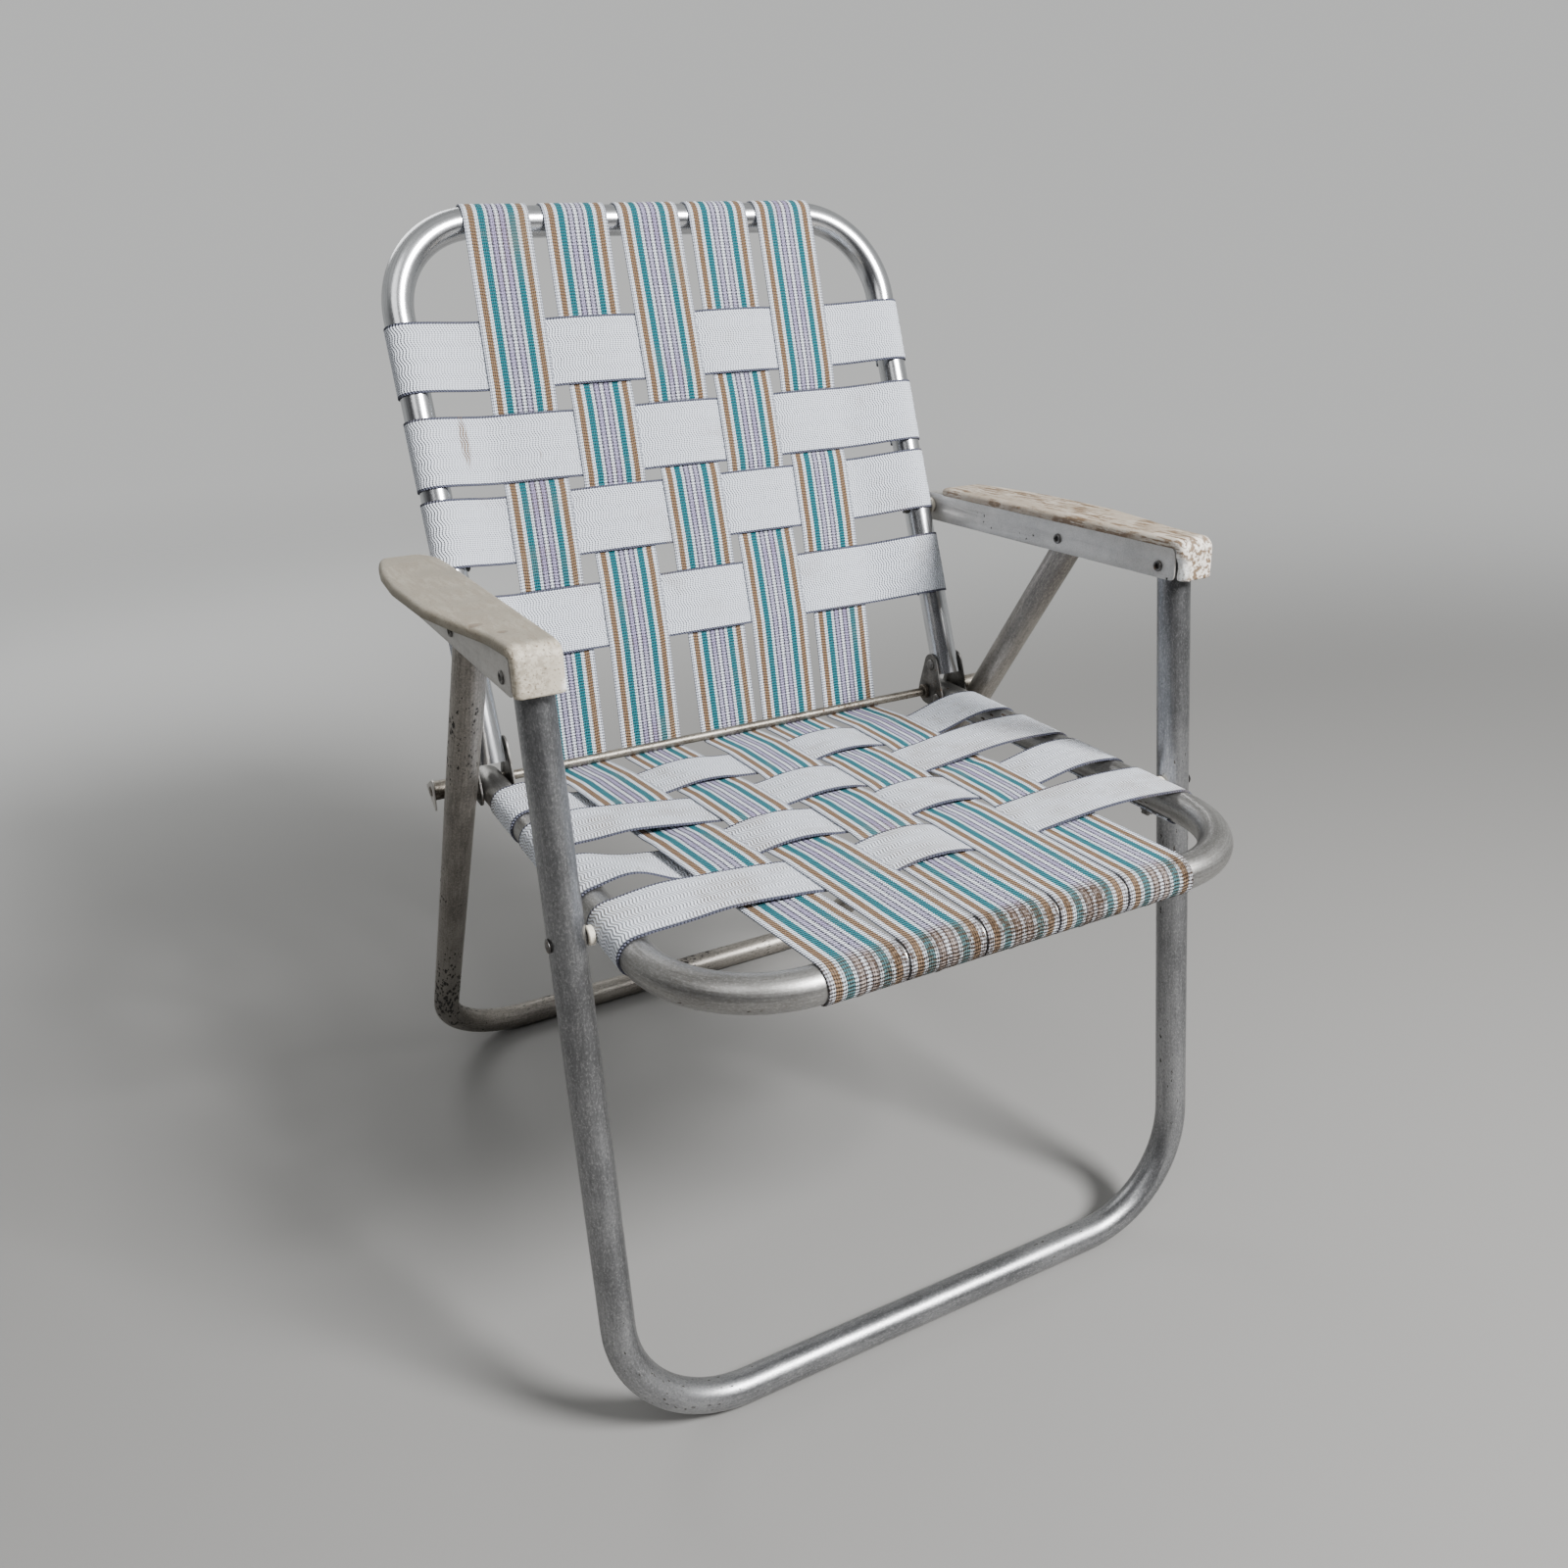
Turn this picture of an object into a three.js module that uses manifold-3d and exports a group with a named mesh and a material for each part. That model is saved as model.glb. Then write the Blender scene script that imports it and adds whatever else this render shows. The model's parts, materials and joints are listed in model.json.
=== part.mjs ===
// Folding lawn chair: aluminium tube frame, woven webbing, plastic arm pads.
// Millimetres, +Z up, the sitter faces -Y, the origin is on the floor under the middle of the chair.
import * as THREE from 'three';
import { mergeVertices } from 'three/addons/utils/BufferGeometryUtils.js';
import Module from 'manifold-3d';

const wasm = await Module();
wasm.setup();

// Tube stock
const tubeRadius = 12.7;
const tubeWall = 1.3;
const tubeSides = 16;
const boreSides = 10;
const bendSteps = 7;
const touchGap = 0.3;
const tubeReach = tubeRadius / Math.cos(Math.PI / tubeSides);

// Side view: y runs back from the front floor bar, z runs up from the floor
const footprintCentre = 251;
const seatPivot = { y: 46.3, z: 406.0 };
const backPivot = { y: 330.6, z: 435.0 };
const armRearPivot = { y: 380.9, z: 578.4 };
const armFrontPivot = { y: 70.1, z: 581.2 };
const armMiddleReach = 121;
const rodPlace = { y: 338.0, z: 406.2 };
const railRivetPlace = { y: 319.0, z: 403.4 };

// Front leg
const frontLegLean = 6.9;
const frontLegHalfFloor = 261;
const frontLegHalfTop = 258;
const frontLegLength = 576;
const legBendRadius = 95;

// Rear leg
const rearLegFootY = 584;
const rearLegHalfFloor = 252;
const rearLegHalfTop = 261;
const rearLegPastPivot = 3;

// Seat and back frames
const frameHalfWidth = 226.5;
const seatFront = { y: -80, z: 406.6 };
const seatDrop = 0.45;
const seatLength = 427;
const seatBendRadius = 82;
const backLean = 20.7;
const backAxisPastPivot = -1.8;
const backHeight = 429;
const backTail = 8;
const backBendRadius = 76;

// Webbing
const strapWidth = 56;
const strapThickness = 1.2;
const strapGap = 0.4;
const backRowsFromTop = [110.5, 186.5, 252, 332.5];
const seatRowsFromFront = [339.5, 263, 191, 113];
const strapAcrossAtTop = [-134, -66, 0, 66, 132];
const strapAcrossAtRod = [-148, -77, 0, 63, 128];
const strapAcrossAtFront = [-116, -58, 0, 58, 116];
const crossPull = 0.4;
const wrapEnd = 210;
const wrapStep = 21;

// Hinge
const plateThickness = 1.6;
const plateRoundBack = 10.5;
const plateRoundRod = 12.5;
const plateRoundRail = 10;
const rodRadius = 4;
const sleeveRadius = 8;
const collarRadius = 7;
const collarLength = 4;
const clipThickness = 1.5;
const clipReach = 13;
const rodPastClip = 1;

// Arms
const armCentre = 259.5;
const armDroop = 0.87;
const channelHalfWidth = 16.5;
const channelSheet = 1.2;
const channelBottom = -9.2;
const channelTop = 16.5;
const channelFront = -17.5;
const channelPastRear = 15;
const padTop = 22.8;
const padLip = 15.6;
const padFront = -25;
const padRear = 297;
const padHalfNose = 17.8;
const padBulge = 40;
const padShell = 2.6;
const padEdge = 3;
const padCorner = 6;
const padShoulder = 70;
const padSwell = 110;
const padWidest = 195;
const padTaper = 70;
const padRearRound = 25;
const padRearCutInner = 12;
const padRearCutOuter = 14.5;

// Rivets
const rivetRadius = 2.5;
const rivetHole = 2.8;
const rivetHead = 5.5;
const rivetDome = 2.2;
const openPivotHole = 9.4;
const washerRadius = 7;
const spacerRadius = 8;
const drillReach = 320;

// Finishes
const polished = { color: 0xc9ccd0, roughness: 0.25, metalness: 1 };
const weathered = { color: 0x8d9094, roughness: 0.5, metalness: 0.9 };
const pitted = { color: 0x8f8a80, roughness: 0.62, metalness: 0.8 };
const sheetAluminium = { color: 0xaaa9a5, roughness: 0.5, metalness: 0.9 };
const darkSteel = { color: 0x55565a, roughness: 0.5, metalness: 0.8 };
const brightSteel = { color: 0xb5b3ab, roughness: 0.35, metalness: 0.9 };
const creamPlastic = { color: 0xcdc3ad, roughness: 0.7, metalness: 0 };
const nylon = { color: 0xd9d2bd, roughness: 0.6, metalness: 0 };
const stripedWeb = { color: 0xb9b8bf, roughness: 0.85, metalness: 0 };
const whiteWeb = { color: 0xdfe2e9, roughness: 0.85, metalness: 0 };

const radians = THREE.MathUtils.degToRad;
const mix = THREE.MathUtils.lerp;

// A mesh with its own material
function piece(name, geometry, finish) {
  const mesh = new THREE.Mesh(geometry, new THREE.MeshStandardMaterial(finish));
  mesh.name = name;
  return mesh;
}

// Closed mesh to solid and back, for joins and cuts
function solidOf(geometry) {
  const bare = geometry.clone();
  bare.deleteAttribute('normal');
  bare.deleteAttribute('uv');
  const merged = mergeVertices(bare, 1e-4);
  return new wasm.Manifold(new wasm.Mesh({
    numProp: 3,
    vertProperties: new Float32Array(merged.attributes.position.array),
    triVerts: new Uint32Array(merged.index.array),
  }));
}

function geometryOf(solid) {
  const mesh = solid.getMesh();
  const geometry = new THREE.BufferGeometry();
  geometry.setAttribute('position', new THREE.BufferAttribute(new Float32Array(mesh.vertProperties), 3));
  geometry.setIndex(new THREE.BufferAttribute(new Uint32Array(mesh.triVerts), 1));
  geometry.computeVertexNormals();
  return geometry;
}

function cut(geometry, tools) {
  let solid = solidOf(geometry);
  for (const tool of tools) {
    solid = solid.subtract(solidOf(tool));
  }
  return geometryOf(solid);
}

// An outline drawn in the side plane, swept along X from one place to another
function sideSweep(outline, fromX, toX, curveSegments) {
  const geometry = new THREE.ExtrudeGeometry(outline, { depth: toX - fromX, bevelEnabled: false, curveSegments });
  geometry.applyMatrix4(new THREE.Matrix4().makeBasis(
    new THREE.Vector3(0, 1, 0),
    new THREE.Vector3(0, 0, 1),
    new THREE.Vector3(1, 0, 0),
  ));
  geometry.translate(fromX, 0, 0);
  return geometry;
}

// A bar along X between two x places, at a point of the side plane
function crossBar(radius, fromX, toX, y, z, sides) {
  const bar = new THREE.CylinderGeometry(radius, radius, toX - fromX, sides);
  bar.rotateZ(Math.PI / 2);
  bar.translate((fromX + toX) / 2, y, z);
  return bar;
}

// A drill that goes right through the chair from side to side
function crossDrill(radius, y, z) {
  return crossBar(radius, -drillReach, drillReach, y, z, 12);
}

// Drills that go only through what wraps the outer sides of the seat and back tubes
function sideDrills(radius, y, z) {
  const right = crossBar(radius, frameHalfWidth, drillReach, y, z, 12);
  const left = crossBar(radius, -drillReach, -frameHalfWidth, y, z, 12);
  return [left, right];
}

// Corners of a polygon whose flats lie on the circle
function roundSection(radius, sides, turn) {
  const reach = radius / Math.cos(Math.PI / sides);
  const points = [];
  for (let i = 0; i < sides; i += 1) {
    const angle = turn + ((i + 0.5) * 2 * Math.PI) / sides;
    points.push(new THREE.Vector2(reach * Math.cos(angle), reach * Math.sin(angle)));
  }
  return points;
}

// The bent centre line of a tube: straight runs with a station at each end, and stations along each bend
class BentLine extends THREE.Curve {
  constructor(corners, radius, steps) {
    super();
    this.stations = [];
    this.tangents = [];
    const last = corners.length - 1;
    this.addStation(corners[0], corners[1].clone().sub(corners[0]));
    for (let i = 1; i < last; i += 1) {
      this.addBend(corners[i - 1], corners[i], corners[i + 1], radius, steps);
    }
    this.addStation(corners[last], corners[last].clone().sub(corners[last - 1]));
  }

  addStation(point, direction) {
    this.stations.push(point.clone());
    this.tangents.push(direction.clone().normalize());
  }

  addBend(before, corner, after, radius, steps) {
    const into = corner.clone().sub(before).normalize();
    const outOf = after.clone().sub(corner).normalize();
    const turn = into.angleTo(outOf);
    const axis = new THREE.Vector3().crossVectors(into, outOf).normalize();
    const start = corner.clone().addScaledVector(into, -radius * Math.tan(turn / 2));
    const inward = new THREE.Vector3().crossVectors(axis, into);
    const centre = start.clone().addScaledVector(inward, radius);
    for (let k = 0; k <= steps; k += 1) {
      const angle = (turn * k) / steps;
      const arm = inward.clone().multiplyScalar(-radius).applyAxisAngle(axis, angle);
      this.addStation(centre.clone().add(arm), into.clone().applyAxisAngle(axis, angle));
    }
  }

  stationAt(t) {
    return Math.round(t * (this.stations.length - 1));
  }

  getPoint(t) {
    return this.stations[this.stationAt(t)].clone();
  }

  getPointAt(t) {
    return this.getPoint(t);
  }

  getTangentAt(t) {
    return this.tangents[this.stationAt(t)].clone();
  }
}

// A hollow tube, open at both ends, bent through the given corners of its own flat plane
function bentTube(corners, bendRadius, sectionTurn) {
  const path = new BentLine(corners.map(([x, y]) => new THREE.Vector3(x, y, 0)), bendRadius, bendSteps);
  const section = new THREE.Shape(roundSection(tubeRadius, tubeSides, sectionTurn));
  section.holes.push(new THREE.Path(roundSection(tubeRadius - tubeWall, boreSides, sectionTurn)));
  return new THREE.ExtrudeGeometry(section, {
    steps: path.stations.length - 1,
    extrudePath: path,
    curveSegments: 1,
  });
}

// A flat frame stands in a group whose Y runs along the frame and whose Z is its upper or front side
function frameGroup(place, slope) {
  const group = new THREE.Group();
  group.position.set(0, place.y, place.z);
  group.rotation.x = radians(slope);
  return group;
}

// A point of the side view, in the Y and Z of such a group
function inFrame(point, place, slope) {
  const y = point.y - place.y;
  const z = point.z - place.z;
  const c = Math.cos(radians(slope));
  const s = Math.sin(radians(slope));
  return { y: c * y + s * z, z: c * z - s * y };
}

// A strap's edge outline: the centre line with half the thickness on either side
function ribbonShape(centreLine, thickness) {
  const left = [];
  const right = [];
  centreLine.forEach((point, i) => {
    const before = centreLine[Math.max(i - 1, 0)];
    const after = centreLine[Math.min(i + 1, centreLine.length - 1)];
    const along = after.clone().sub(before).normalize();
    const normal = new THREE.Vector2(-along.y, along.x).multiplyScalar(thickness / 2);
    left.push(point.clone().add(normal));
    right.unshift(point.clone().sub(normal));
  });
  return new THREE.Shape([...left, ...right]);
}

// The wrap of a strap round a tube, from one angle to another in degrees
function wrapPoints(centreU, centreV, fromAngle, toAngle, radius) {
  const count = Math.ceil(Math.abs(toAngle - fromAngle) / wrapStep);
  const points = [];
  for (let i = 0; i <= count; i += 1) {
    const angle = radians(mix(fromAngle, toAngle, i / count));
    points.push(new THREE.Vector2(centreU + radius * Math.cos(angle), centreV + radius * Math.sin(angle)));
  }
  return points;
}

const strapRide = (tubeReach + touchGap) / Math.cos(radians(wrapStep / 2)) + strapThickness / 2;
const weaveLift = (strapThickness + strapGap) / 2;
const crossingHalf = strapWidth / 2 + touchGap;

// Plain weave: the first lengthwise strap is on top in the first row, and they take turns
function lengthwiseOnTop(strap, row) {
  return (strap + row) % 2 === 0;
}

// A cross strap: round one tube, over and under the lengthwise straps, round the other tube
function crossStrap(row, rowPlace, middleDepth, acrossPlaces, drifts) {
  const line = wrapPoints(-frameHalfWidth, 0, 90 + wrapEnd, 90, strapRide);
  acrossPlaces.forEach((across, strap) => {
    const depth = middleDepth + (lengthwiseOnTop(strap, row) ? -weaveLift : weaveLift);
    const half = crossingHalf + (Math.abs(drifts[strap]) * strapWidth) / 2;
    line.push(new THREE.Vector2(across - half, depth));
    line.push(new THREE.Vector2(across + half, depth));
  });
  line.push(...wrapPoints(frameHalfWidth, 0, 90, 90 - wrapEnd, strapRide));
  const geometry = new THREE.ExtrudeGeometry(ribbonShape(line, strapThickness), {
    depth: strapWidth,
    bevelEnabled: false,
  });
  geometry.rotateX(Math.PI / 2);
  geometry.translate(0, rowPlace + strapWidth / 2, 0);
  return geometry;
}

// A lengthwise strap along Y, leaning sideways at a steady rate
function lengthwiseStrap(line, acrossAtZero, drift) {
  const geometry = sideSweep(ribbonShape(line, strapThickness), -strapWidth / 2, strapWidth / 2);
  geometry.applyMatrix4(new THREE.Matrix4().makeShear(0, 0, drift, 0, 0, 0));
  geometry.translate(acrossAtZero, 0, 0);
  return geometry;
}

// The woven rows of a lengthwise strap, each a flat stretch over or under its cross strap
function wovenRows(strap, rows, depths) {
  const points = [];
  rows.forEach((place, row) => {
    const depth = depths[row] + (lengthwiseOnTop(strap, row) ? weaveLift : -weaveLift);
    points.push(new THREE.Vector2(place + crossingHalf, depth));
    points.push(new THREE.Vector2(place - crossingHalf, depth));
  });
  return points;
}

// A rivet with a domed head at both ends, lying along X
function rivet(fromX, toX, y, z) {
  const half = (toX - fromX) / 2;
  const profile = [new THREE.Vector2(0, -half - rivetDome)];
  profile.push(new THREE.Vector2(rivetHead * 0.62, -half - rivetDome * 0.75));
  profile.push(new THREE.Vector2(rivetHead, -half));
  profile.push(new THREE.Vector2(rivetRadius, -half));
  for (let i = profile.length - 1; i >= 0; i -= 1) {
    profile.push(new THREE.Vector2(profile[i].x, -profile[i].y));
  }
  const geometry = new THREE.LatheGeometry(profile, 10);
  geometry.rotateZ(-Math.PI / 2);
  geometry.translate((fromX + toX) / 2, y, z);
  return geometry;
}

// A ring along X with a square bore edge
function ring(outer, bore, fromX, toX, y, z, sides) {
  const shape = new THREE.Shape(roundSection(outer, sides, 0));
  shape.holes.push(new THREE.Path(roundSection(bore, sides, 0)));
  const geometry = new THREE.ExtrudeGeometry(shape, { depth: toX - fromX, bevelEnabled: false });
  geometry.rotateY(Math.PI / 2);
  geometry.translate(fromX, y, z);
  return geometry;
}

// The outline that a tight band round several circles would take
function bandRound(circles, stepsPerTurn) {
  const points = [];
  for (const { y, z, radius } of circles) {
    for (let i = 0; i < stepsPerTurn; i += 1) {
      const angle = (i * 2 * Math.PI) / stepsPerTurn;
      points.push(new THREE.Vector2(y + radius * Math.cos(angle), z + radius * Math.sin(angle)));
    }
  }
  points.sort((a, b) => a.x - b.x || a.y - b.y);
  const turnsLeft = (a, b, c) => (b.x - a.x) * (c.y - a.y) - (b.y - a.y) * (c.x - a.x) > 1e-6;
  const chain = (ordered) => {
    const hull = [];
    for (const point of ordered) {
      while (hull.length > 1 && !turnsLeft(hull[hull.length - 2], hull[hull.length - 1], point)) {
        hull.pop();
      }
      hull.push(point);
    }
    return hull.slice(0, -1);
  };
  return new THREE.Shape([...chain(points), ...chain(points.slice().reverse())]);
}

// A flat plate in the side plane, from fromX to toX, with round holes
function sidePlate(outline, fromX, toX, holes) {
  for (const { y, z, radius } of holes) {
    outline.holes.push(new THREE.Path(roundSection(radius, 12, 0).map((p) => p.clone().add({ x: y, y: z }))));
  }
  return sideSweep(outline, fromX, toX);
}

// Pieces of the left side are the right side's, turned over in X
function mirrored(geometry) {
  const flipped = geometry.index ? geometry.toNonIndexed() : geometry.clone();
  const position = flipped.attributes.position;
  for (let i = 0; i < position.count; i += 3) {
    for (const k of [0, 1, 2]) {
      position.setX(i + k, -position.getX(i + k));
    }
    const [x, y, z] = [position.getX(i + 1), position.getY(i + 1), position.getZ(i + 1)];
    position.setXYZ(i + 1, position.getX(i + 2), position.getY(i + 2), position.getZ(i + 2));
    position.setXYZ(i + 2, x, y, z);
  }
  flipped.computeVertexNormals();
  return flipped;
}

function pair(group, name, rightGeometry, finish) {
  group.add(piece(`${name}_left`, mirrored(rightGeometry), finish));
  group.add(piece(`${name}_right`, rightGeometry, finish));
}

const chair = new THREE.Group();
chair.position.y = -footprintCentre;

// Front leg: one tube bent into a U, standing on its cross bar
const floorBar = { y: 0, z: tubeRadius };
const frontLegSlope = 90 - frontLegLean;

function frontLeg() {
  const corners = [
    [-frontLegHalfTop, frontLegLength],
    [-frontLegHalfFloor, 0],
    [frontLegHalfFloor, 0],
    [frontLegHalfTop, frontLegLength],
  ];
  const seatHole = inFrame(seatPivot, floorBar, frontLegSlope);
  const armHole = inFrame(armFrontPivot, floorBar, frontLegSlope);
  const group = frameGroup(floorBar, frontLegSlope);
  group.add(piece('front_leg', cut(bentTube(corners, legBendRadius, radians(frontLegLean)), [
    crossDrill(rivetHole, seatHole.y, seatHole.z),
    crossDrill(openPivotHole, armHole.y, armHole.z),
  ]), weathered));
  return group;
}

// Arm line: from the front pivot back to the rear pivot
const armSlope = THREE.MathUtils.radToDeg(
  Math.atan2(armRearPivot.z - armFrontPivot.z, armRearPivot.y - armFrontPivot.y),
);
const armLength = Math.hypot(armRearPivot.y - armFrontPivot.y, armRearPivot.z - armFrontPivot.z);
const armMiddlePivot = {
  y: armFrontPivot.y + armMiddleReach * Math.cos(radians(armSlope)),
  z: armFrontPivot.z + armMiddleReach * Math.sin(radians(armSlope)),
};

// Rear leg: a longer U that hangs from the middle of the arms and slopes back to the floor
function rearLeg() {
  const foot = { y: rearLegFootY, z: tubeRadius };
  const rise = armMiddlePivot.z - foot.z;
  const run = foot.y - armMiddlePivot.y;
  const slope = 90 + THREE.MathUtils.radToDeg(Math.atan2(run, rise));
  const length = Math.hypot(rise, run) + rearLegPastPivot;
  const corners = [
    [-rearLegHalfTop, length],
    [-rearLegHalfFloor, 0],
    [rearLegHalfFloor, 0],
    [rearLegHalfTop, length],
  ];
  const group = frameGroup(foot, slope);
  const hole = inFrame(armMiddlePivot, foot, slope);
  group.add(piece('rear_leg', cut(bentTube(corners, legBendRadius, radians(90 - slope)), [
    crossDrill(rivetHole, hole.y, hole.z),
  ]), pitted));
  return group;
}

// Depth of each row's woven middle: between the straight run of the lengthwise straps and the tubes' face
function rowDepths(rows, fromPlace, fromDepth, toPlace, toDepth) {
  return rows.map((place) => {
    const straight = mix(fromDepth, toDepth, (place - fromPlace) / (toPlace - fromPlace));
    return mix(straight, strapRide, crossPull);
  });
}

function acrossAt(places, otherPlaces, share) {
  return places.map((across, strap) => mix(across, otherPlaces[strap], share));
}

// How fast each lengthwise strap moves sideways along a frame
function driftsOf(places, otherPlaces, distance) {
  return places.map((across, strap) => (otherPlaces[strap] - across) / distance);
}

// Back: an upside-down U with its own cross straps and the upper half of the lengthwise straps
const backSlope = 90 - backLean;
const backPlace = {
  y: backPivot.y + backAxisPastPivot * Math.sin(radians(backSlope)),
  z: backPivot.z - backAxisPastPivot * Math.cos(radians(backSlope)),
};

function backRest() {
  const group = frameGroup(backPlace, backSlope);
  const corners = [
    [-frameHalfWidth, -backTail],
    [-frameHalfWidth, backHeight],
    [frameHalfWidth, backHeight],
    [frameHalfWidth, -backTail],
  ];
  const hinge = inFrame(backPivot, backPlace, backSlope);
  const arm = inFrame(armRearPivot, backPlace, backSlope);
  group.add(piece('back_frame', cut(bentTube(corners, backBendRadius, 0), [
    crossDrill(rivetHole, hinge.y, hinge.z),
    crossDrill(rivetHole, arm.y, arm.z),
  ]), polished));

  const rod = inFrame(rodPlace, backPlace, backSlope);
  const strapEnd = { y: rod.y + rodRadius * 2.5, z: rod.z - rodRadius };
  const rows = backRowsFromTop.map((down) => backHeight - down);
  const depths = rowDepths(rows, backHeight, strapRide, strapEnd.y, strapEnd.z);
  const drifts = driftsOf(strapAcrossAtRod, strapAcrossAtTop, backHeight - rod.y);
  rows.forEach((place, row) => {
    const share = (backHeight - place) / (backHeight - rod.y);
    const across = acrossAt(strapAcrossAtTop, strapAcrossAtRod, share);
    const strap = crossStrap(row, place, depths[row], across, drifts);
    const notched = Math.abs(place - arm.y) < strapWidth / 2 + washerRadius;
    const geometry = notched ? cut(strap, sideDrills(washerRadius + touchGap * 2, arm.y, arm.z)) : strap;
    group.add(piece(`back_cross_strap_${row + 1}`, geometry, whiteWeb));
  });
  strapAcrossAtTop.forEach((acrossTop, strap) => {
    const line = wrapPoints(backHeight, 0, 90 - wrapEnd, 90, strapRide);
    line.push(...wovenRows(strap, rows, depths));
    line.push(new THREE.Vector2(strapEnd.y, strapEnd.z));
    const geometry = lengthwiseStrap(line, acrossTop - drifts[strap] * backHeight, drifts[strap]);
    group.add(piece(`back_long_strap_${strap + 1}`, geometry, stripedWeb));
  });
  return group;
}

// Seat: a U with its bar at the front, its cross straps and the lower half of the lengthwise straps
const seatSlope = -seatDrop;

function seat() {
  const group = frameGroup(seatFront, seatSlope);
  const corners = [
    [-frameHalfWidth, seatLength],
    [-frameHalfWidth, 0],
    [frameHalfWidth, 0],
    [frameHalfWidth, seatLength],
  ];
  const rod = inFrame(rodPlace, seatFront, seatSlope);
  const leg = inFrame(seatPivot, seatFront, seatSlope);
  const plate = inFrame(railRivetPlace, seatFront, seatSlope);
  group.add(piece('seat_frame', cut(bentTube(corners, seatBendRadius, 0), [
    crossDrill(rivetHole, leg.y, leg.z),
    crossDrill(rivetHole, plate.y, plate.z),
    crossDrill(rodRadius + touchGap, rod.y, rod.z),
  ]), weathered));

  const underRod = rod.z - rodRadius - touchGap - strapThickness / 2;
  const depths = rowDepths(seatRowsFromFront, rod.y, underRod, 0, strapRide);
  const drifts = driftsOf(strapAcrossAtFront, strapAcrossAtRod, rod.y);
  seatRowsFromFront.forEach((place, row) => {
    const across = acrossAt(strapAcrossAtFront, strapAcrossAtRod, place / rod.y);
    const strap = crossStrap(row, place, depths[row], across, drifts);
    const pierced = Math.abs(place - leg.y) < strapWidth / 2;
    const geometry = pierced ? cut(strap, sideDrills(rivetHole, leg.y, leg.z)) : strap;
    group.add(piece(`seat_cross_strap_${row + 1}`, geometry, whiteWeb));
  });
  strapAcrossAtFront.forEach((acrossFront, strap) => {
    const rodRide = rodRadius + touchGap + strapThickness / 2;
    const line = wrapPoints(rod.y, rod.z, 0, -90, rodRide);
    line.push(...wovenRows(strap, seatRowsFromFront, depths));
    line.push(...wrapPoints(0, 0, 90, 90 + wrapEnd, strapRide));
    const geometry = lengthwiseStrap(line, acrossFront, drifts[strap]);
    group.add(piece(`seat_long_strap_${strap + 1}`, geometry, stripedWeb));
  });
  return group;
}

// Hinge: two plates hold the ends of the seat rail and carry the back's pivot; the rod ties both sides,
// presses the webbing into the crease, and stops the rear leg with a sleeve outside each outer plate
function hinge() {
  const group = new THREE.Group();
  const tubeSide = tubeReach + touchGap;
  const innerPlateX = frameHalfWidth - tubeSide - plateThickness;
  const outerPlateX = frameHalfWidth + tubeSide;
  const outline = () => bandRound([
    { ...backPivot, radius: plateRoundBack },
    { ...rodPlace, radius: plateRoundRod },
    { ...railRivetPlace, radius: plateRoundRail },
  ], 24);
  const holes = [
    { ...backPivot, radius: rivetHole },
    { ...railRivetPlace, radius: rivetHole },
    { ...rodPlace, radius: rodRadius + touchGap },
  ];
  const plate = (fromX) => sidePlate(outline(), fromX, fromX + plateThickness, holes);
  pair(group, 'hinge_plate_inner', plate(innerPlateX), darkSteel);
  pair(group, 'hinge_plate_outer', plate(outerPlateX), darkSteel);

  const inside = innerPlateX - touchGap;
  const outside = outerPlateX + plateThickness + touchGap;
  pair(group, 'hinge_pivot_rivet', rivet(inside, outside, backPivot.y, backPivot.z), darkSteel);
  pair(group, 'hinge_rail_rivet', rivet(inside, outside, railRivetPlace.y, railRivetPlace.z), darkSteel);

  const sleeveStart = outside + touchGap;
  const sleeveEnd = rearLegHalfTop + tubeReach;
  const clipStart = sleeveEnd + touchGap;
  const rodEnd = clipStart + clipThickness + rodPastClip;
  const { y, z } = rodPlace;
  const bore = rodRadius + touchGap;
  group.add(piece('crease_rod', crossBar(rodRadius, -rodEnd, rodEnd, y, z, 14), brightSteel));
  pair(group, 'rod_collar', ring(collarRadius, bore, inside - collarLength, inside, y, z, 14), brightSteel);
  pair(group, 'rear_leg_stop', ring(sleeveRadius, bore, sleeveStart, sleeveEnd, y, z, 14), sheetAluminium);
  const clip = bandRound([
    { y: y + clipReach, z, radius: 2 },
    { y: y - clipReach * 0.5, z: z + clipReach * 0.8, radius: 2 },
    { y: y - clipReach * 0.5, z: z - clipReach, radius: 2 },
  ], 12);
  const clipPlate = sidePlate(clip, clipStart, clipStart + clipThickness, [{ y, z, radius: bore }]);
  pair(group, 'rod_end_clip', clipPlate, sheetAluminium);
  return group;
}

// Pivot between the front leg and the seat rail: a rivet through both, with a nylon spacer between
function seatPivots() {
  const group = new THREE.Group();
  const share = (seatPivot.z - tubeRadius) / (armFrontPivot.z - tubeRadius);
  const legCentre = mix(frontLegHalfFloor, frontLegHalfTop, share);
  const { y, z } = seatPivot;
  const railFace = frameHalfWidth + strapRide + strapThickness / 2 + touchGap;
  const legFace = legCentre - tubeReach - touchGap;
  pair(group, 'seat_pivot_spacer', ring(spacerRadius, rivetHole, railFace, legFace, y, z, 14), nylon);
  const inner = frameHalfWidth - tubeReach - touchGap;
  const outer = legCentre + tubeReach + touchGap;
  pair(group, 'seat_pivot_rivet', rivet(inner, outer, y, z), brightSteel);
  return group;
}

// A point of the pivot line, in the frame of the sheet and the pad, which drop a little to the rear
function onSheet(point) {
  return inFrame(point, { y: 0, z: 0 }, -armDroop);
}

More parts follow.
